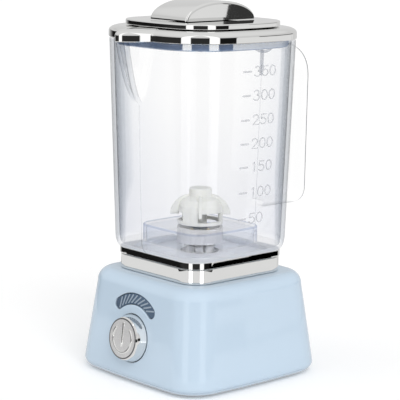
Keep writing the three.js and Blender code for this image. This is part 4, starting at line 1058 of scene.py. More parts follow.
SPRING_RADIUS = 6
SPRING_WIRE = 0.35
SPRING_TURNS = 4
SPRING_STEPS = 24
SPRING_LOW = -12.4
SPRING_HIGH = BUTTON_REACH - BUTTON_SHELL - SEAT_GAP


def button_spring(material):
    """A coil behind the button."""
    rise = SPRING_HIGH - SPRING_LOW - 2 * SPRING_WIRE
    rows = []
    for share in spaced(0, 1, SPRING_TURNS * SPRING_STEPS):
        outward = unit(FULL_TURN * SPRING_TURNS * share).to_3d()
        middle = outward * SPRING_RADIUS + Vector((0, 0, SPRING_LOW + SPRING_WIRE + rise * share))
        rows.append([middle + (outward * math.cos(a) + Vector((0, 0, math.sin(a)))) * SPRING_WIRE
                     for a in spaced(0, FULL_TURN, RIDGE_STEPS)[:-1]])
    thing = on_face(rings("coil_spring", rows))
    dress(thing, "base", material, "steel", "button_spring")
    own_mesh(thing)


WINDOW_GAP = 0.3
WINDOW_EDGE = 0.3
WINDOW_RECESS = 0.45
WINDOW_DEPTH = 3.2
MARK_COUNT = 10
MARK_HALF_LENGTH = 1.75
MARK_STROKE = 0.36
MARK_RISE = 0.22
MARK_SLANT = math.radians(11)


def light_window(material):
    profile = [(WINDOW_GAP + WINDOW_EDGE, -WINDOW_RECESS), (WINDOW_GAP, -WINDOW_RECESS - WINDOW_EDGE),
               (WINDOW_GAP, -WINDOW_DEPTH)]
    rows = [level(arc_outline(ARC_HALF_WIDTH - inset), z) for inset, z in profile]
    dress(on_face(rings("window", rows)), "base", material, "smoke_plastic", "light_window")


def arc_marks(material):
    """Pale slanted beads along the window of the lit arc."""
    for i in range(MARK_COUNT):
        middle = mix(ARC_START, ARC_END, (i + 0.5) / MARK_COUNT)
        line = [clock(middle - MARK_SLANT / 2) * (ARC_RADIUS - MARK_HALF_LENGTH),
                clock(middle + MARK_SLANT / 2) * (ARC_RADIUS + MARK_HALF_LENGTH)]
        thing = moved(ridge(f"arc_mark_{i + 1}", line, MARK_STROKE, MARK_RISE), z=-WINDOW_RECESS)
        dress(on_face(thing), "base", material, "white_plastic")


# Graduations on the side that faces +X, and what is moulded under the spout and the handle

LEVEL_MARKS = ((350, 87.5), (300, 76.5), (250, 65.3), (200, 54.3), (150, 43.5), (100, 31.6), (50, 19.3))
FIGURE_WIDTH = 3.6
FIGURE_HEIGHT = 4.5
FIGURE_SPACE = 1.25
FIGURE_START = -2.9
FIGURE_STROKE = 0.27
FIGURE_RISE = 0.22
TICK_START = -9.3
TICK_END = -5.1
TICK_HALF_WIDTH = 0.42
TICK_STEPS = 4

# The pen's path for each digit in a unit square: a point, or part of an ellipse as its middle, its
# half width and height, its two end angles in degrees and its steps.
FIGURES = {
    "0": ((0.5, 0.5, 0.5, 0.5, 90, 450, 28),),
    "1": ((0.35, 0.8), (0.6, 1), (0.6, 0.5), (0.6, 0)),
    "2": ((0.5, 0.71, 0.46, 0.29, 165, -30, 14), (0.02, 0), (1, 0)),
    "3": ((0.45, 0.76, 0.4, 0.24, 150, -80, 14), (0.45, 0.27, 0.5, 0.27, 80, -150, 14)),
    "5": ((0.92, 1), (0.18, 1), (0.1, 0.55), (0.47, 0.32, 0.5, 0.32, 125, -150, 14)),
}


def on_side(thing, turn=0):
    """Bends a flat piece in (across, up, out) onto the jug's side that faces +X, or another one."""
    for vertex in thing.data.vertices:
        across, up, out = vertex.co / MM
        half, _, side = jug_shape(up)
        x = half - side + math.sqrt(side * side - across * across) + out
        vertex.co = Vector((x, across, up)) * MM
    thing.data.update()
    thing.data.transform(Matrix.Rotation(turn, 4, "Z"))
    return on_axis(thing)


def curl(x, y, half_width, half_height, start, end, steps):
    angles = [math.radians(angle) for angle in spaced(start, end, steps)]
    return [Vector((x + half_width * math.cos(a), y + half_height * math.sin(a))) for a in angles]


def figure_line(digit):
    points = []
    for stroke in FIGURES[digit]:
        points += [Vector(stroke)] if len(stroke) == 2 else curl(*stroke)
    return points


def figures(text, up, material):
    low = up - FIGURE_HEIGHT / 2
    for i, digit in enumerate(text):
        start = FIGURE_START + i * (FIGURE_WIDTH + FIGURE_SPACE)
        line = [Vector((start + p.x * FIGURE_WIDTH, low + p.y * FIGURE_HEIGHT)) for p in figure_line(digit)]
        thing = on_side(ridge(f"figure_{text}_{i + 1}", line, FIGURE_STROKE, FIGURE_RISE))
        dress(thing, "jug", material, "clear_plastic")


def graduations(material):
    for amount, rise in LEVEL_MARKS:
        up = JUG_LOW_Z + rise
        figures(str(amount), up, material)
        line = [Vector((u, up)) for u in spaced(TICK_START, TICK_END, TICK_STEPS)]
        thing = on_side(ridge(f"tick_{amount}", line, TICK_HALF_WIDTH, FIGURE_RISE))
        dress(thing, "jug", material, "clear_plastic")


PAD_HALF_WIDTH = 8
PAD_HEIGHT = 5.5
PAD_DROP = 3
PAD_STROKE = 0.7
PAD_RISE = 0.5
PAD_STEPS = 24
RIB_HALF_WIDTH = 1.2
RIB_LENGTH = 10.5
RIB_STEPS = 12


def handle_root(material):
    """The rounded pad under the handle's top end, and the rib that runs down from it."""
    top = JUG_RIM - PAD_DROP
    rib_top = top - PAD_HEIGHT
    curve = [Vector((PAD_HALF_WIDTH * math.cos(a), top - PAD_HEIGHT * math.sin(a)))
             for a in spaced(0, math.pi, PAD_STEPS)]
    rib = [Vector((0, z)) for z in spaced(rib_top, rib_top - RIB_LENGTH, RIB_STEPS)]
    for name, line, half_width in (("handle_pad", curve, PAD_STROKE), ("handle_rib", rib, RIB_HALF_WIDTH)):
        thing = on_side(ridge(name, line, half_width, PAD_RISE), QUARTER)
        dress(thing, "jug", material, "clear_plastic")


SEAM_HALF_WIDTH = 0.15
SEAM_RISE = 0.08
SEAM_SINK = 0.1
SEAM_END = 1
SEAM_STEPS = 60
BACK_SEAM_DROP = 14


def mould_lines(material):
    """Fine upright lines down the middle of the front wall and of the back wall."""
    section = ((-SEAM_HALF_WIDTH, -SEAM_SINK), (-SEAM_HALF_WIDTH, SEAM_RISE / 2), (0, SEAM_RISE),
               (SEAM_HALF_WIDTH, SEAM_RISE / 2), (SEAM_HALF_WIDTH, -SEAM_SINK))
    for name, facing, top in (("front_mould_line", -1, SPOUT_APEX - SEAM_END),
                              ("back_mould_line", 1, JUG_RIM - BACK_SEAM_DROP)):
        rows = []
        for z in spaced(JUG_LOW_Z + SEAM_END, top, SEAM_STEPS):
            half = jug_shape(z)[0]
            rows.append([Vector((u, facing * (half + out), z)) for u, out in section])
        dress(on_axis(rings(name, rows)), "jug", material, "clear_plastic")


# Materials


def new_material(name):
    material = bpy.data.materials.new(name)
    material.use_nodes = True
    return material, material.node_tree, material.node_tree.nodes["Principled BSDF"]


def feed(tree, value, socket):
    """Sets a socket to a plain number, or links another node's output to it."""
    if isinstance(value, (int, float)):
        socket.default_value = value
    else:
        tree.links.new(value, socket)


def number(tree, operation, *values):
    """A Math node fed with numbers or other nodes' outputs."""
    node = tree.nodes.new("ShaderNodeMath")
    node.operation = operation
    for socket, value in zip(node.inputs, values):
        feed(tree, value, socket)
    return node.outputs["Value"]


def times(tree, first, second):
    return number(tree, "MULTIPLY", first, second)


def show(tree, shader_output):
    """Makes a shader the material's surface."""
    tree.links.new(shader_output, tree.nodes["Material Output"].inputs["Surface"])


def blend_shaders(tree, fac, first, second):
    node = tree.nodes.new("ShaderNodeMixShader")
    feed(tree, fac, node.inputs["Fac"])
    tree.links.new(first, node.inputs[1])
    tree.links.new(second, node.inputs[2])
    return node.outputs["Shader"]


def noise(tree, scale, detail=3.0):
    coordinates = tree.nodes.new("ShaderNodeTexCoord")
    texture = tree.nodes.new("ShaderNodeTexNoise")
    texture.inputs["Scale"].default_value = scale
    texture.inputs["Detail"].default_value = detail
    tree.links.new(coordinates.outputs["Object"], texture.inputs["Vector"])
    return texture.outputs["Fac"]


def colours_ramp(tree, fac, stops):
    ramp = tree.nodes.new("ShaderNodeValToRGB")
    elements = ramp.color_ramp.elements
    while len(elements) < len(stops):
        elements.new(1)
    for element, (position, colour) in zip(elements, stops):
        element.position = position
        element.color = (*colour, 1)
    tree.links.new(fac, ramp.inputs["Fac"])
    return ramp.outputs["Color"]


UNEVEN_RANGE = (0.3, 0.7)
GRAIN_DEPTH = 0.0001


def uneven(tree, texture, colour, low_share):
    """A colour that a texture darkens in places."""
    dark = [channel * low_share for channel in colour]
    return colours_ramp(tree, texture, list(zip(UNEVEN_RANGE, (dark, colour))))


def bump(tree, shader, height, strength):
    rise = tree.nodes.new("ShaderNodeBump")
    rise.inputs["Strength"].default_value = strength
    rise.inputs["Distance"].default_value = GRAIN_DEPTH
    tree.links.new(height, rise.inputs["Height"])
    tree.links.new(rise.outputs["Normal"], shader.inputs["Normal"])


CLOUD_SCALE = 35
MOTTLE_STOPS = (0.35, 0.65)


def surface(name, colour, roughness, metallic=0.0, mottle=0.02, grain=0.02, grain_scale=900, spread=0.25):
    """A moulded, turned or plated surface: faintly uneven in colour, in gloss and in height."""
    material, tree, shader = new_material(name)
    clouds = noise(tree, CLOUD_SCALE)
    dark = [channel * (1 - mottle) for channel in colour]
    light = [min(1, channel * (1 + mottle)) for channel in colour]
    tint = colours_ramp(tree, clouds, list(zip(MOTTLE_STOPS, (dark, light))))
    tree.links.new(tint, shader.inputs["Base Color"])
    gloss = number(tree, "MULTIPLY_ADD", clouds, 2 * spread * roughness, roughness * (1 - spread))
    tree.links.new(gloss, shader.inputs["Roughness"])
    shader.inputs["Metallic"].default_value = metallic
    bump(tree, shader, noise(tree, grain_scale, 2.0), grain)
    return material


SCRATCH_SCALE = 2600
SCRATCH_DETAIL = 8
SCRATCH_SHADE = 0.8
SCRATCH_ROUGHNESS = (0.3, 0.25)  # what the scratches add, and the least
SCRATCH_DEPTH = 0.35
SATIN_METALLIC = 0.55


def brushed_metal(name, colour):
    """Satin metal with fine scratches in every direction and small pits."""
    material, tree, shader = new_material(name)
    scratches = noise(tree, SCRATCH_SCALE, SCRATCH_DETAIL)
    tint = uneven(tree, scratches, colour, SCRATCH_SHADE)
    tree.links.new(tint, shader.inputs["Base Color"])
    tree.links.new(number(tree, "MULTIPLY_ADD", scratches, *SCRATCH_ROUGHNESS), shader.inputs["Roughness"])
    shader.inputs["Metallic"].default_value = SATIN_METALLIC
    bump(tree, shader, scratches, SCRATCH_DEPTH)
    return material


MILKY_SHADE = 0.97
MILKY_ROUGHNESS = (0.2, 0.2)  # what the clouds add, and the least
MILKY_SPREAD = 0.3
MILKY_SPREAD_COLOUR = (1, 1, 0.9)
MILKY_SPREAD_REACH = 0.002
MILKY_GRAIN_SCALE = 1400
MILKY_GRAIN = 0.05


def milky_plastic(name, colour):
    """Slightly see-through plastic: light spreads a little way into it."""
    material, tree, shader = new_material(name)
    clouds = noise(tree, CLOUD_SCALE * 3)
    tint = uneven(tree, clouds, colour, MILKY_SHADE)
    tree.links.new(tint, shader.inputs["Base Color"])
    tree.links.new(number(tree, "MULTIPLY_ADD", clouds, *MILKY_ROUGHNESS), shader.inputs["Roughness"])
    shader.inputs["Subsurface Weight"].default_value = MILKY_SPREAD
    shader.inputs["Subsurface Radius"].default_value = MILKY_SPREAD_COLOUR
    shader.inputs["Subsurface Scale"].default_value = MILKY_SPREAD_REACH
    bump(tree, shader, noise(tree, MILKY_GRAIN_SCALE), MILKY_GRAIN)
    return material


INSERT_SHADE = 0.9
INSERT_ROUGHNESS = 0.04
INSERT_GRAIN_SCALE = 700
INSERT_GRAIN = 0.01


def mirror_over_colour(name, mirror, under, share):
    """Plating on a coloured insert, so thin that the plastic under it still shows."""
    material, tree, shader = new_material(name)
    shader.inputs["Base Color"].default_value = (*mirror, 1)
    shader.inputs["Metallic"].default_value = 1
    shader.inputs["Roughness"].default_value = INSERT_ROUGHNESS
    plastic = tree.nodes.new("ShaderNodeBsdfDiffuse")
    clouds = noise(tree, CLOUD_SCALE)
    tint = uneven(tree, clouds, under, INSERT_SHADE)
    tree.links.new(tint, plastic.inputs["Color"])
    bump(tree, shader, noise(tree, INSERT_GRAIN_SCALE), INSERT_GRAIN)
    show(tree, blend_shaders(tree, share, shader.outputs["BSDF"], plastic.outputs["BSDF"]))
    return material


MARK_SCALE = 500
MARK_SHADE = 0.96
MARK_ROUGHNESS = 0.3


def moulded_mark(name, tint, haze):
    """Raised clear plastic: mostly see-through, with a little of its own pale grey."""
    material, tree, shader = new_material(name)
    through = tree.nodes.new("ShaderNodeBsdfTransparent")
    colour = uneven(tree, noise(tree, MARK_SCALE), tint, MARK_SHADE)
    tree.links.new(colour, through.inputs["Color"])
    shader.inputs["Base Color"].default_value = (*tint, 1)
    shader.inputs["Roughness"].default_value = MARK_ROUGHNESS
    show(tree, blend_shaders(tree, haze, through.outputs["BSDF"], shader.outputs["BSDF"]))
    return material


def product(tree, first, second):
    node = tree.nodes.new("ShaderNodeVectorMath")
    node.operation = "MULTIPLY"
    tree.links.new(first, node.inputs[0])
    tree.links.new(second, node.inputs[1])
    return node.outputs["Vector"]


def height_of(tree, source):
    parts = tree.nodes.new("ShaderNodeSeparateXYZ")
    tree.links.new(source, parts.inputs["Vector"])
    return parts.outputs["Z"]


FOOT_FADE = 0.35
FOOT_LOSS = 0.25
LOW_TINT_TOP = 0.75
UNTINTED = (1, 1, 1)


def edge_tint(tree, stops, low_tint, flat_share):
    """Painted shade: a colour that deepens where an upright wall turns away from the eye, standing in for the
    dark edges that bent and mirrored light gives clear plastic, and that also deepens towards the foot.
    """
    facing = tree.nodes.new("ShaderNodeLayerWeight").outputs["Facing"]
    lean = height_of(tree, tree.nodes.new("ShaderNodeNewGeometry").outputs["Normal"])
    upright = number(tree, "SUBTRACT", 1, times(tree, lean, lean))
    rise = height_of(tree, tree.nodes.new("ShaderNodeTexCoord").outputs["Object"])
    span = (JUG_RIM - JUG_LOW_Z) * MM
    share = number(tree, "MULTIPLY_ADD", rise, 1 / span, -JUG_LOW_Z * MM / span)
    past_foot = number(tree, "MINIMUM", 1, number(tree, "DIVIDE", share, FOOT_FADE))
    at_foot = number(tree, "SUBTRACT", 1, past_foot)
    fade = number(tree, "MULTIPLY_ADD", at_foot, -FOOT_LOSS, 1)
    steepness = number(tree, "MAXIMUM", times(tree, upright, fade), flat_share)
    turned_away = colours_ramp(tree, times(tree, facing, steepness), stops)
    share = number(tree, "MULTIPLY_ADD", lean, lean, share)
    by_height = colours_ramp(tree, share, ((0, low_tint), (LOW_TINT_TOP, UNTINTED)))
    return facing, product(tree, turned_away, by_height)


GLOSS_POWER = 4
GLOSS_FACE = 0.04
GLOSS_ROUGHNESS = 0.03


def clear_plastic(name, stops, low_tint, bend=1, flat_share=0, edge_gloss=0.55):
    """Clear plastic with painted shade where it is seen edge on, with a mirror's gloss.

    Thin walls let the light straight through. Small blocks bend it a little, which draws their edges.
    """
    material, tree, shader = new_material(name)
    tree.nodes.remove(shader)
    facing, tint = edge_tint(tree, stops, low_tint, flat_share)
    through = tree.nodes.new("ShaderNodeBsdfTransparent" if bend == 1 else "ShaderNodeBsdfRefraction")
    tree.links.new(tint, through.inputs["Color"])
    if bend != 1:
        through.inputs["IOR"].default_value = bend
        through.inputs["Roughness"].default_value = 0
    gloss = tree.nodes.new("ShaderNodeBsdfGlossy")
    gloss.inputs["Roughness"].default_value = GLOSS_ROUGHNESS
    slant = number(tree, "POWER", facing, GLOSS_POWER)
    share = number(tree, "MULTIPLY_ADD", slant, edge_gloss - GLOSS_FACE, GLOSS_FACE)
    from_behind = tree.nodes.new("ShaderNodeNewGeometry").outputs["Backfacing"]
    share = times(tree, share, number(tree, "SUBTRACT", 1, from_behind))
    show(tree, blend_shaders(tree, share, through.outputs["BSDF"], gloss.outputs["BSDF"]))
    return material


# Colours of the painted edge shade of each clear material, from facing the eye to edge on.
CLEAR_STOPS = ((0, (0.999, 0.999, 0.999)), (0.22, (0.998, 0.998, 0.998)), (0.3, (0.988, 0.989, 0.991)),
               (0.4, (0.972, 0.975, 0.982)), (0.42, (0.955, 0.96, 0.97)), (0.44, (0.87, 0.882, 0.9)),
               (0.7, (0.8, 0.81, 0.825)), (0.93, (0.62, 0.63, 0.64)), (1, (0.4, 0.41, 0.42)))
CLEAR_LOW = (0.962, 0.965, 0.976)
HANDLE_STOPS = ((0, (1, 1, 1)), (0.37, (0.99, 0.99, 0.99)), (0.43, (0.55, 0.56, 0.57)), (1, (0.3, 0.3, 0.31)))
HANDLE_INSIDE_STOPS = ((0, (1, 1, 1)), (0.5, (0.99, 0.99, 0.99)), (1, (0.8, 0.8, 0.81)))
HANDLE_BEND = 1.002
HANDLE_FLAT_SHARE = 0.475
HANDLE_GLOSS = 0.12
PLINTH_BEND = 1.01
PLINTH_STOPS = ((0, (0.998, 0.998, 0.999)), (0.3, (0.98, 0.983, 0.99)), (0.45, (0.86, 0.88, 0.93)),
                (0.7, (0.78, 0.81, 0.88)), (1, (0.55, 0.6, 0.7)))
RIM_STOPS = ((0, (0.74, 0.78, 0.87)), (1, (0.62, 0.66, 0.76)))
INSIDE_STOPS = ((0, (0.97, 0.98, 0.998)), (1, (0.84, 0.87, 0.93)))


GROUND_SCALE = 1200
GROUND_SHADE = 0.95
GROUND_ROUGHNESS = 0.35


def frosted_plastic(name, colour, share):
    """Clear plastic with a ground surface, so that what lies inside shows only faintly."""
    material, tree, shader = new_material(name)
    grain = noise(tree, GROUND_SCALE)
    tint = uneven(tree, grain, colour, GROUND_SHADE)
    tree.links.new(tint, shader.inputs["Base Color"])
    shader.inputs["Roughness"].default_value = GROUND_ROUGHNESS
    through = tree.nodes.new("ShaderNodeBsdfTransparent")
    show(tree, blend_shaders(tree, share, through.outputs["BSDF"], shader.outputs["BSDF"]))
    return material


# Camera, floor and light

CAMERA = Vector((564.31, -506.64, 221.42))
AZIMUTH = math.radians(48.098)
ELEVATION = math.radians(10.352)
ROLL = math.radians(0.758)
FOCAL_PIXELS = 1611
PHOTO_PIXELS = 400
SENSOR_WIDTH = 36
SUN_ANGLE = math.radians(40)
AMBIENT_LEVEL = 0.62


def add_camera():
    back = Vector((math.sin(AZIMUTH) * math.cos(ELEVATION), -math.cos(AZIMUTH) * math.cos(ELEVATION),
                   math.sin(ELEVATION)))
    right = Vector((math.cos(AZIMUTH), math.sin(AZIMUTH), 0))
    up = back.cross(right)
    tilted_right = right * math.cos(ROLL) + up * math.sin(ROLL)
    tilted_up = up * math.cos(ROLL) - right * math.sin(ROLL)
    data = bpy.data.cameras.new("camera")
    data.sensor_width = SENSOR_WIDTH
    data.lens = FOCAL_PIXELS / PHOTO_PIXELS * SENSOR_WIDTH
    camera = bpy.data.objects.new("camera", data)
    turn = Matrix((tilted_right, tilted_up, back)).transposed().to_4x4()
    camera.matrix_world = Matrix.Translation(CAMERA * MM + Vector((0, AXIS_Y, 0))) @ turn
    bpy.context.scene.collection.objects.link(camera)
    bpy.context.scene.camera = camera


# The room that plating shows. Angles are in degrees round the jug's axis, with 0 facing -Y and 90
# facing +X, and levels are brightnesses. The table is seen up to its edges and the room beyond.
TABLE_LEVEL = 0.8
WINDOW_LEVEL = 1.5
WINDOW_GLARE = 4
DARK_LEVEL = 0.012
SHADE_LEVEL = 0.035
BACK_LEVEL = 0.85
FIRST_WINDOW = (8.7, 29)
SECOND_WINDOW = (67, 87.5)
TABLE_WINDOWS = ((11, 27), (69.5, 85.5))
GLARE_START = 160
SIDE_WALL = 120
DARK_CORNER = 131
DARK_CORNER_REACH = 500
ROOM_STOPS = ((-180, BACK_LEVEL), (-112, BACK_LEVEL), (-84, DARK_LEVEL), (-45, DARK_LEVEL),
              (-35, SHADE_LEVEL), (FIRST_WINDOW[0], SHADE_LEVEL), (FIRST_WINDOW[0], WINDOW_LEVEL),
              (FIRST_WINDOW[1], WINDOW_LEVEL), (FIRST_WINDOW[1], SHADE_LEVEL),
              (SECOND_WINDOW[0], SHADE_LEVEL), (SECOND_WINDOW[0], WINDOW_LEVEL),
              (SECOND_WINDOW[1], WINDOW_LEVEL), (SECOND_WINDOW[1], DARK_LEVEL),
              (SIDE_WALL, DARK_LEVEL), (SIDE_WALL, TABLE_LEVEL), (180, TABLE_LEVEL))
CEILING_STOPS = ((-1, 0), (0.1, 0), (0.17, 0.82), (0.28, 0.86), (0.42, 0.78), (0.6, 0.95), (1, 1))
DOORWAY = 132.65
DOORWAY_SILL = -0.069
TABLE_EDGE_X = 215.3
TABLE_GAP = 12.5
TABLE_EDGE_Y = -195.2
CORNER_PLACE = 27
TABLE_ROUND = 250
TABLE_LEFT_REACH = 262.5
FAR_GAP = (261.5, 276)
DOOR_LEVEL = 0.05
FLOOR_REACH = 6
STOP_BLUR = 0.0008
FLOOR_LIFT = 0.2
FAR_DOORWAY = 133.45
FAR_PLACE = 2450


def steps_ramp(tree, fac, stops):
    """Grey levels from (position, level) stops; two at one place make a sharp edge."""
    greys = []
    for i, (position, grey) in enumerate(stops):
        blur = STOP_BLUR if i and stops[i - 1][0] == position else 0
        greys.append((position + blur, (grey, grey, grey)))
    return colours_ramp(tree, fac, greys)


def compass(tree, x, y):
    """The direction of (x, y) round the part, as a share of a turn with -Y in the middle."""
    angle = number(tree, "ARCTAN2", x, times(tree, y, -1))
    return number(tree, "MULTIPLY_ADD", angle, 1 / FULL_TURN, 0.5)


def turn_share(degrees):
    return degrees / 360 + 0.5


def between(tree, value, low, high):
    above = number(tree, "GREATER_THAN", value, low)
    return times(tree, above, number(tree, "LESS_THAN", value, high))


def distance(tree, x, y, place_x, place_y):
    """How far (x, y) lies from a place."""
    across = number(tree, "SUBTRACT", x, place_x)
    along = number(tree, "SUBTRACT", y, place_y)
    return number(tree, "SQRT", number(tree, "ADD", times(tree, across, across), times(tree, along, along)))


def glow(tree, colour):
    """Emission of the strength that its colour says."""
    node = tree.nodes.new("ShaderNodeEmission")
    tree.links.new(colour, node.inputs["Color"])
    return node.outputs["Emission"]


def only_in_gloss(tree, path):
    """One for a ray that was last mirrored, and zero for one that went on through clear plastic."""
    on_through = number(tree, "SUBTRACT", 1, path.outputs["Is Transmission Ray"])
    return times(tree, path.outputs["Is Glossy Ray"], on_through)


def add_floor():
    """A white table. Plating sees it as far as its edges, and the room's pattern past them."""
    mesh = bpy.data.meshes.new("floor")
    corners = [(x * FLOOR_REACH, y * FLOOR_REACH, 0) for x, y in CORNERS]
    mesh.from_pydata(corners, [], [(0, 1, 2, 3)])
    floor = bpy.data.objects.new("floor", mesh)
    bpy.context.scene.collection.objects.link(floor)
    material, tree, shader = new_material("floor")
    shader.inputs["Base Color"].default_value = (0.9, 0.9, 0.9, 1)
    shader.inputs["Roughness"].default_value = 0.9
    shader.inputs["Specular IOR Level"].default_value = 0
    shader.inputs["Emission Color"].default_value = (1, 1, 1, 1)
    path = tree.nodes.new("ShaderNodeLightPath")
    seen = number(tree, "MAXIMUM", path.outputs["Is Camera Ray"], path.outputs["Is Transmission Ray"])
    tree.links.new(times(tree, FLOOR_LIFT, seen), shader.inputs["Emission Strength"])
    place = tree.nodes.new("ShaderNodeNewGeometry")
    parts = tree.nodes.new("ShaderNodeSeparateXYZ")
    tree.links.new(place.outputs["Position"], parts.inputs["Vector"])
    x = parts.outputs["X"]
    y = number(tree, "SUBTRACT", parts.outputs["Y"], AXIS_Y)
    corner = CORNER_PLACE * MM
    direction = compass(tree, number(tree, "SUBTRACT", x, corner), number(tree, "ADD", y, corner))
    on_right = number(tree, "GREATER_THAN", direction, turn_share(SIDE_WALL))
    edge_x = TABLE_EDGE_X * MM
    inside = times(tree, number(tree, "LESS_THAN", x, edge_x),
                    number(tree, "GREATER_THAN", y, TABLE_EDGE_Y * MM))
    from_left = distance(tree, x, y, -corner, -corner)
    inside = times(tree, inside, number(tree, "LESS_THAN", from_left, TABLE_LEFT_REACH * MM))
    from_corner = distance(tree, x, y, corner, -corner)
    inside = number(tree, "MAXIMUM", inside, number(tree, "LESS_THAN", from_corner, TABLE_ROUND * MM))
    far = number(tree, "GREATER_THAN", x, FAR_PLACE * MM * math.sin(math.radians(FAR_DOORWAY)))
    past_door = times(tree, far, number(tree, "GREATER_THAN", direction, turn_share(FAR_DOORWAY)))
    shown = number(tree, "SUBTRACT", number(tree, "MAXIMUM", inside, on_right), past_door)
    gap = between(tree, x, edge_x, edge_x + TABLE_GAP * MM)
    gap = times(tree, gap, number(tree, "GREATER_THAN", from_corner, TABLE_ROUND * MM))
    corner_turn = between(tree, direction, turn_share(SIDE_WALL), turn_share(DARK_CORNER))
    corner_ring = between(tree, from_corner, TABLE_ROUND * MM, DARK_CORNER_REACH * MM)
    gap = number(tree, "MAXIMUM", gap, times(tree, corner_turn, corner_ring))
    far_gap = between(tree, distance(tree, x, y, corner, corner), *(reach * MM for reach in FAR_GAP))
    far_gap = times(tree, far_gap, number(tree, "GREATER_THAN", y, 0))
    gap = number(tree, "MAXIMUM", gap, far_gap)
    bright = [between(tree, direction, *map(turn_share, window)) for window in TABLE_WINDOWS]
    windows = times(tree, number(tree, "ADD", *bright), WINDOW_GLARE - TABLE_LEVEL)
    windows = times(tree, windows, number(tree, "GREATER_THAN", from_corner, GLARE_START * MM))
    table = number(tree, "ADD", windows, TABLE_LEVEL)
    table = times(tree, table, number(tree, "SUBTRACT", 1, gap))
    through = tree.nodes.new("ShaderNodeBsdfTransparent")
    seen_in_gloss = blend_shaders(tree, shown, through.outputs["BSDF"], glow(tree, table))
    show(tree, blend_shaders(tree, only_in_gloss(tree, path), shader.outputs["BSDF"], seen_in_gloss))
    mesh.materials.append(material)


def add_world():
    """Plain light for the surfaces, white for the camera, and the room's pattern for gloss."""
    world = bpy.data.worlds.new("studio")
    bpy.context.scene.world = world
    world.use_nodes = True
    tree = world.node_tree
    plain_light = tree.nodes["Background"]
    plain_light.inputs["Color"].default_value = (1, 1, 1, 1)
    plain_light.inputs["Strength"].default_value = AMBIENT_LEVEL
    white = tree.nodes.new("ShaderNodeBackground")
    white.inputs["Color"].default_value = (1, 1, 1, 1)
    coordinates = tree.nodes.new("ShaderNodeTexCoord")
    parts = tree.nodes.new("ShaderNodeSeparateXYZ")
    tree.links.new(coordinates.outputs["Generated"], parts.inputs["Vector"])
    height = parts.outputs["Z"]
    direction = compass(tree, parts.outputs["X"], parts.outputs["Y"])
    room = steps_ramp(tree, direction, [(turn_share(degrees), value) for degrees, value in ROOM_STOPS])
    doorway = times(tree, between(tree, direction, turn_share(DOORWAY), 1),
                     number(tree, "GREATER_THAN", height, DOORWAY_SILL))
    lit = times(tree, room, number(tree, "SUBTRACT", 1, doorway))
    lit = number(tree, "MULTIPLY_ADD", doorway, DOOR_LEVEL, lit)
    ceiling = steps_ramp(tree, number(tree, "MULTIPLY_ADD", height, 0.5, 0.5),
                         [(z / 2 + 0.5, value) for z, value in CEILING_STOPS])
    pattern = tree.nodes.new("ShaderNodeBackground")
    tree.links.new(number(tree, "MAXIMUM", lit, ceiling), pattern.inputs["Strength"])
    path = tree.nodes.new("ShaderNodeLightPath")
    seen = number(tree, "MAXIMUM", path.outputs["Is Camera Ray"], path.outputs["Is Transmission Ray"])
    rest = blend_shaders(tree, only_in_gloss(tree, path), plain_light.outputs["Background"],
                         pattern.outputs["Background"])
    final = blend_shaders(tree, seen, rest, white.outputs["Background"])
    tree.links.new(final, tree.nodes["World Output"].inputs["Surface"])


def add_sun(name, towards, strength):
    """Broad plain light from one direction, the same all over the table. Plating doesn't show it."""
    data = bpy.data.lights.new(name, "SUN")
    data.angle = SUN_ANGLE
    data.energy = strength
    lamp = bpy.data.objects.new(name, data)
    lamp.rotation_euler = Vector(towards).to_track_quat("Z", "Y").to_euler()
    lamp.visible_glossy = False
    bpy.context.scene.collection.objects.link(lamp)


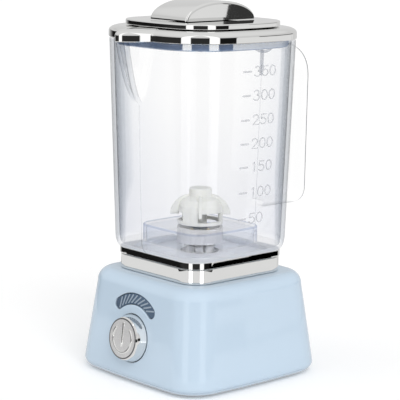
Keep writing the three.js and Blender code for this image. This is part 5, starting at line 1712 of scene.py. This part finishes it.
def build():
    blue = surface("pale_blue", (0.575, 0.7, 0.823), 0.06, mottle=0.008, grain=0.008, grain_scale=260)
    chrome = surface("plating", (0.86, 0.86, 0.85), 0.015, 1.0, 0.01, 0.002, 500)
    satin = brushed_metal("satin_face", (0.88, 0.87, 0.87))
    rubber = surface("soft_grey", (0.35, 0.38, 0.42), 0.7, grain=0.2)
    smoke = surface("smoke", (0.09, 0.135, 0.2), 0.25, mottle=0.15)
    pale = surface("pale_marks", (0.34, 0.41, 0.49), 0.3)
    milky = milky_plastic("milky", (0.93, 0.935, 0.89))
    steel = surface("steel", (0.6, 0.6, 0.6), 0.3, 1.0, 0.08, 0.1)
    brass = surface("brass", (0.62, 0.46, 0.2), 0.28, 1.0, 0.08, 0.08)
    white = surface("white_parts", (0.9, 0.9, 0.89), 0.4, grain=0.08)
    seat = surface("pale_seat", (0.94, 0.96, 1), 0.4, grain=0.08)
    # Painted shadow for the groove round the button's face.
    dark = surface("groove", (0.1, 0.1, 0.105), 0.3, mottle=0.1)
    grey = surface("grey_parts", (0.3, 0.32, 0.35), 0.5, grain=0.1)
    green = surface("board", (0.05, 0.2, 0.08), 0.4, mottle=0.2)
    clear = clear_plastic("clear", CLEAR_STOPS, CLEAR_LOW)
    clear_bar = clear_plastic("clear_bar", HANDLE_STOPS, UNTINTED, HANDLE_BEND, HANDLE_FLAT_SHARE,
                              HANDLE_GLOSS)
    clear_bar_inside = clear_plastic("clear_bar_inside", HANDLE_INSIDE_STOPS, UNTINTED, HANDLE_BEND,
                                     edge_gloss=HANDLE_GLOSS)
    clear_block = clear_plastic("clear_block", PLINTH_STOPS, UNTINTED, PLINTH_BEND)
    clear_rim = clear_plastic("clear_rim", RIM_STOPS, UNTINTED, PLINTH_BEND)
    clear_inside = clear_plastic("clear_inside", INSIDE_STOPS, UNTINTED, PLINTH_BEND)
    frosted = frosted_plastic("ground_tube", (0.93, 0.93, 0.94), 0.6)
    mark = moulded_mark("clear_marks", (0.86, 0.865, 0.88), 0.35)
    pad = moulded_mark("handle_pad_plastic", (0.9, 0.91, 0.935), 0.2)
    line = moulded_mark("mould_lines", (0.96, 0.965, 0.975), 0.1)
    insert = mirror_over_colour("plated_insert", (0.95, 0.93, 0.86), (0.42, 0.58, 0.92), 0.4)
    by_slot = {"blue_plastic": blue, "chrome_plate": chrome, "soft_rubber": rubber, "smoke_plastic": smoke,
               "milky_plastic": milky, "steel": steel, "brass": brass, "white_plastic": white,
               "grey_plastic": grey, "board": green, "clear_plastic": clear}
    for entry in frame["record"]["subparts"]:
        node = frame["nodes"][entry["node"]]
        node.data.materials.clear()
        node.data.materials.append(by_slot[entry["material_slot"]])
    base_housing(blue)
    base_cover(blue)
    feet(rubber)
    base_collar(chrome, seat)
    jug_ring(chrome, seat)
    jug_body(clear, clear_bar, clear_bar_inside)
    handle_root(pad)
    graduations(mark)
    mould_lines(line)
    blade_plinth(clear_block, frosted, clear_rim, clear_inside)
    agitator(milky)
    lid_cover(chrome)
    lid_plug(insert)
    lid_tier(chrome)
    lid_grip(chrome)
    push_button(chrome, satin)
    power_symbol(chrome)
    face_groove(dark)
    button_spring(steel)
    light_window(smoke)
    arc_marks(pale)
    for i in range(1, 5):
        screw(f"cover_screw_{i}", "base", steel)
        screw(f"deck_screw_{i}", "base", steel, faces_up=True)
    screw("door_screw", "door", steel)


build()
add_camera()
add_floor()
add_world()
add_sun("left_light", (-0.5, -0.9, 1.1), 0.22)
add_sun("right_light", (1, -0.5, 0.9), 1.35)
bpy.context.scene.view_settings.view_transform = "Standard"
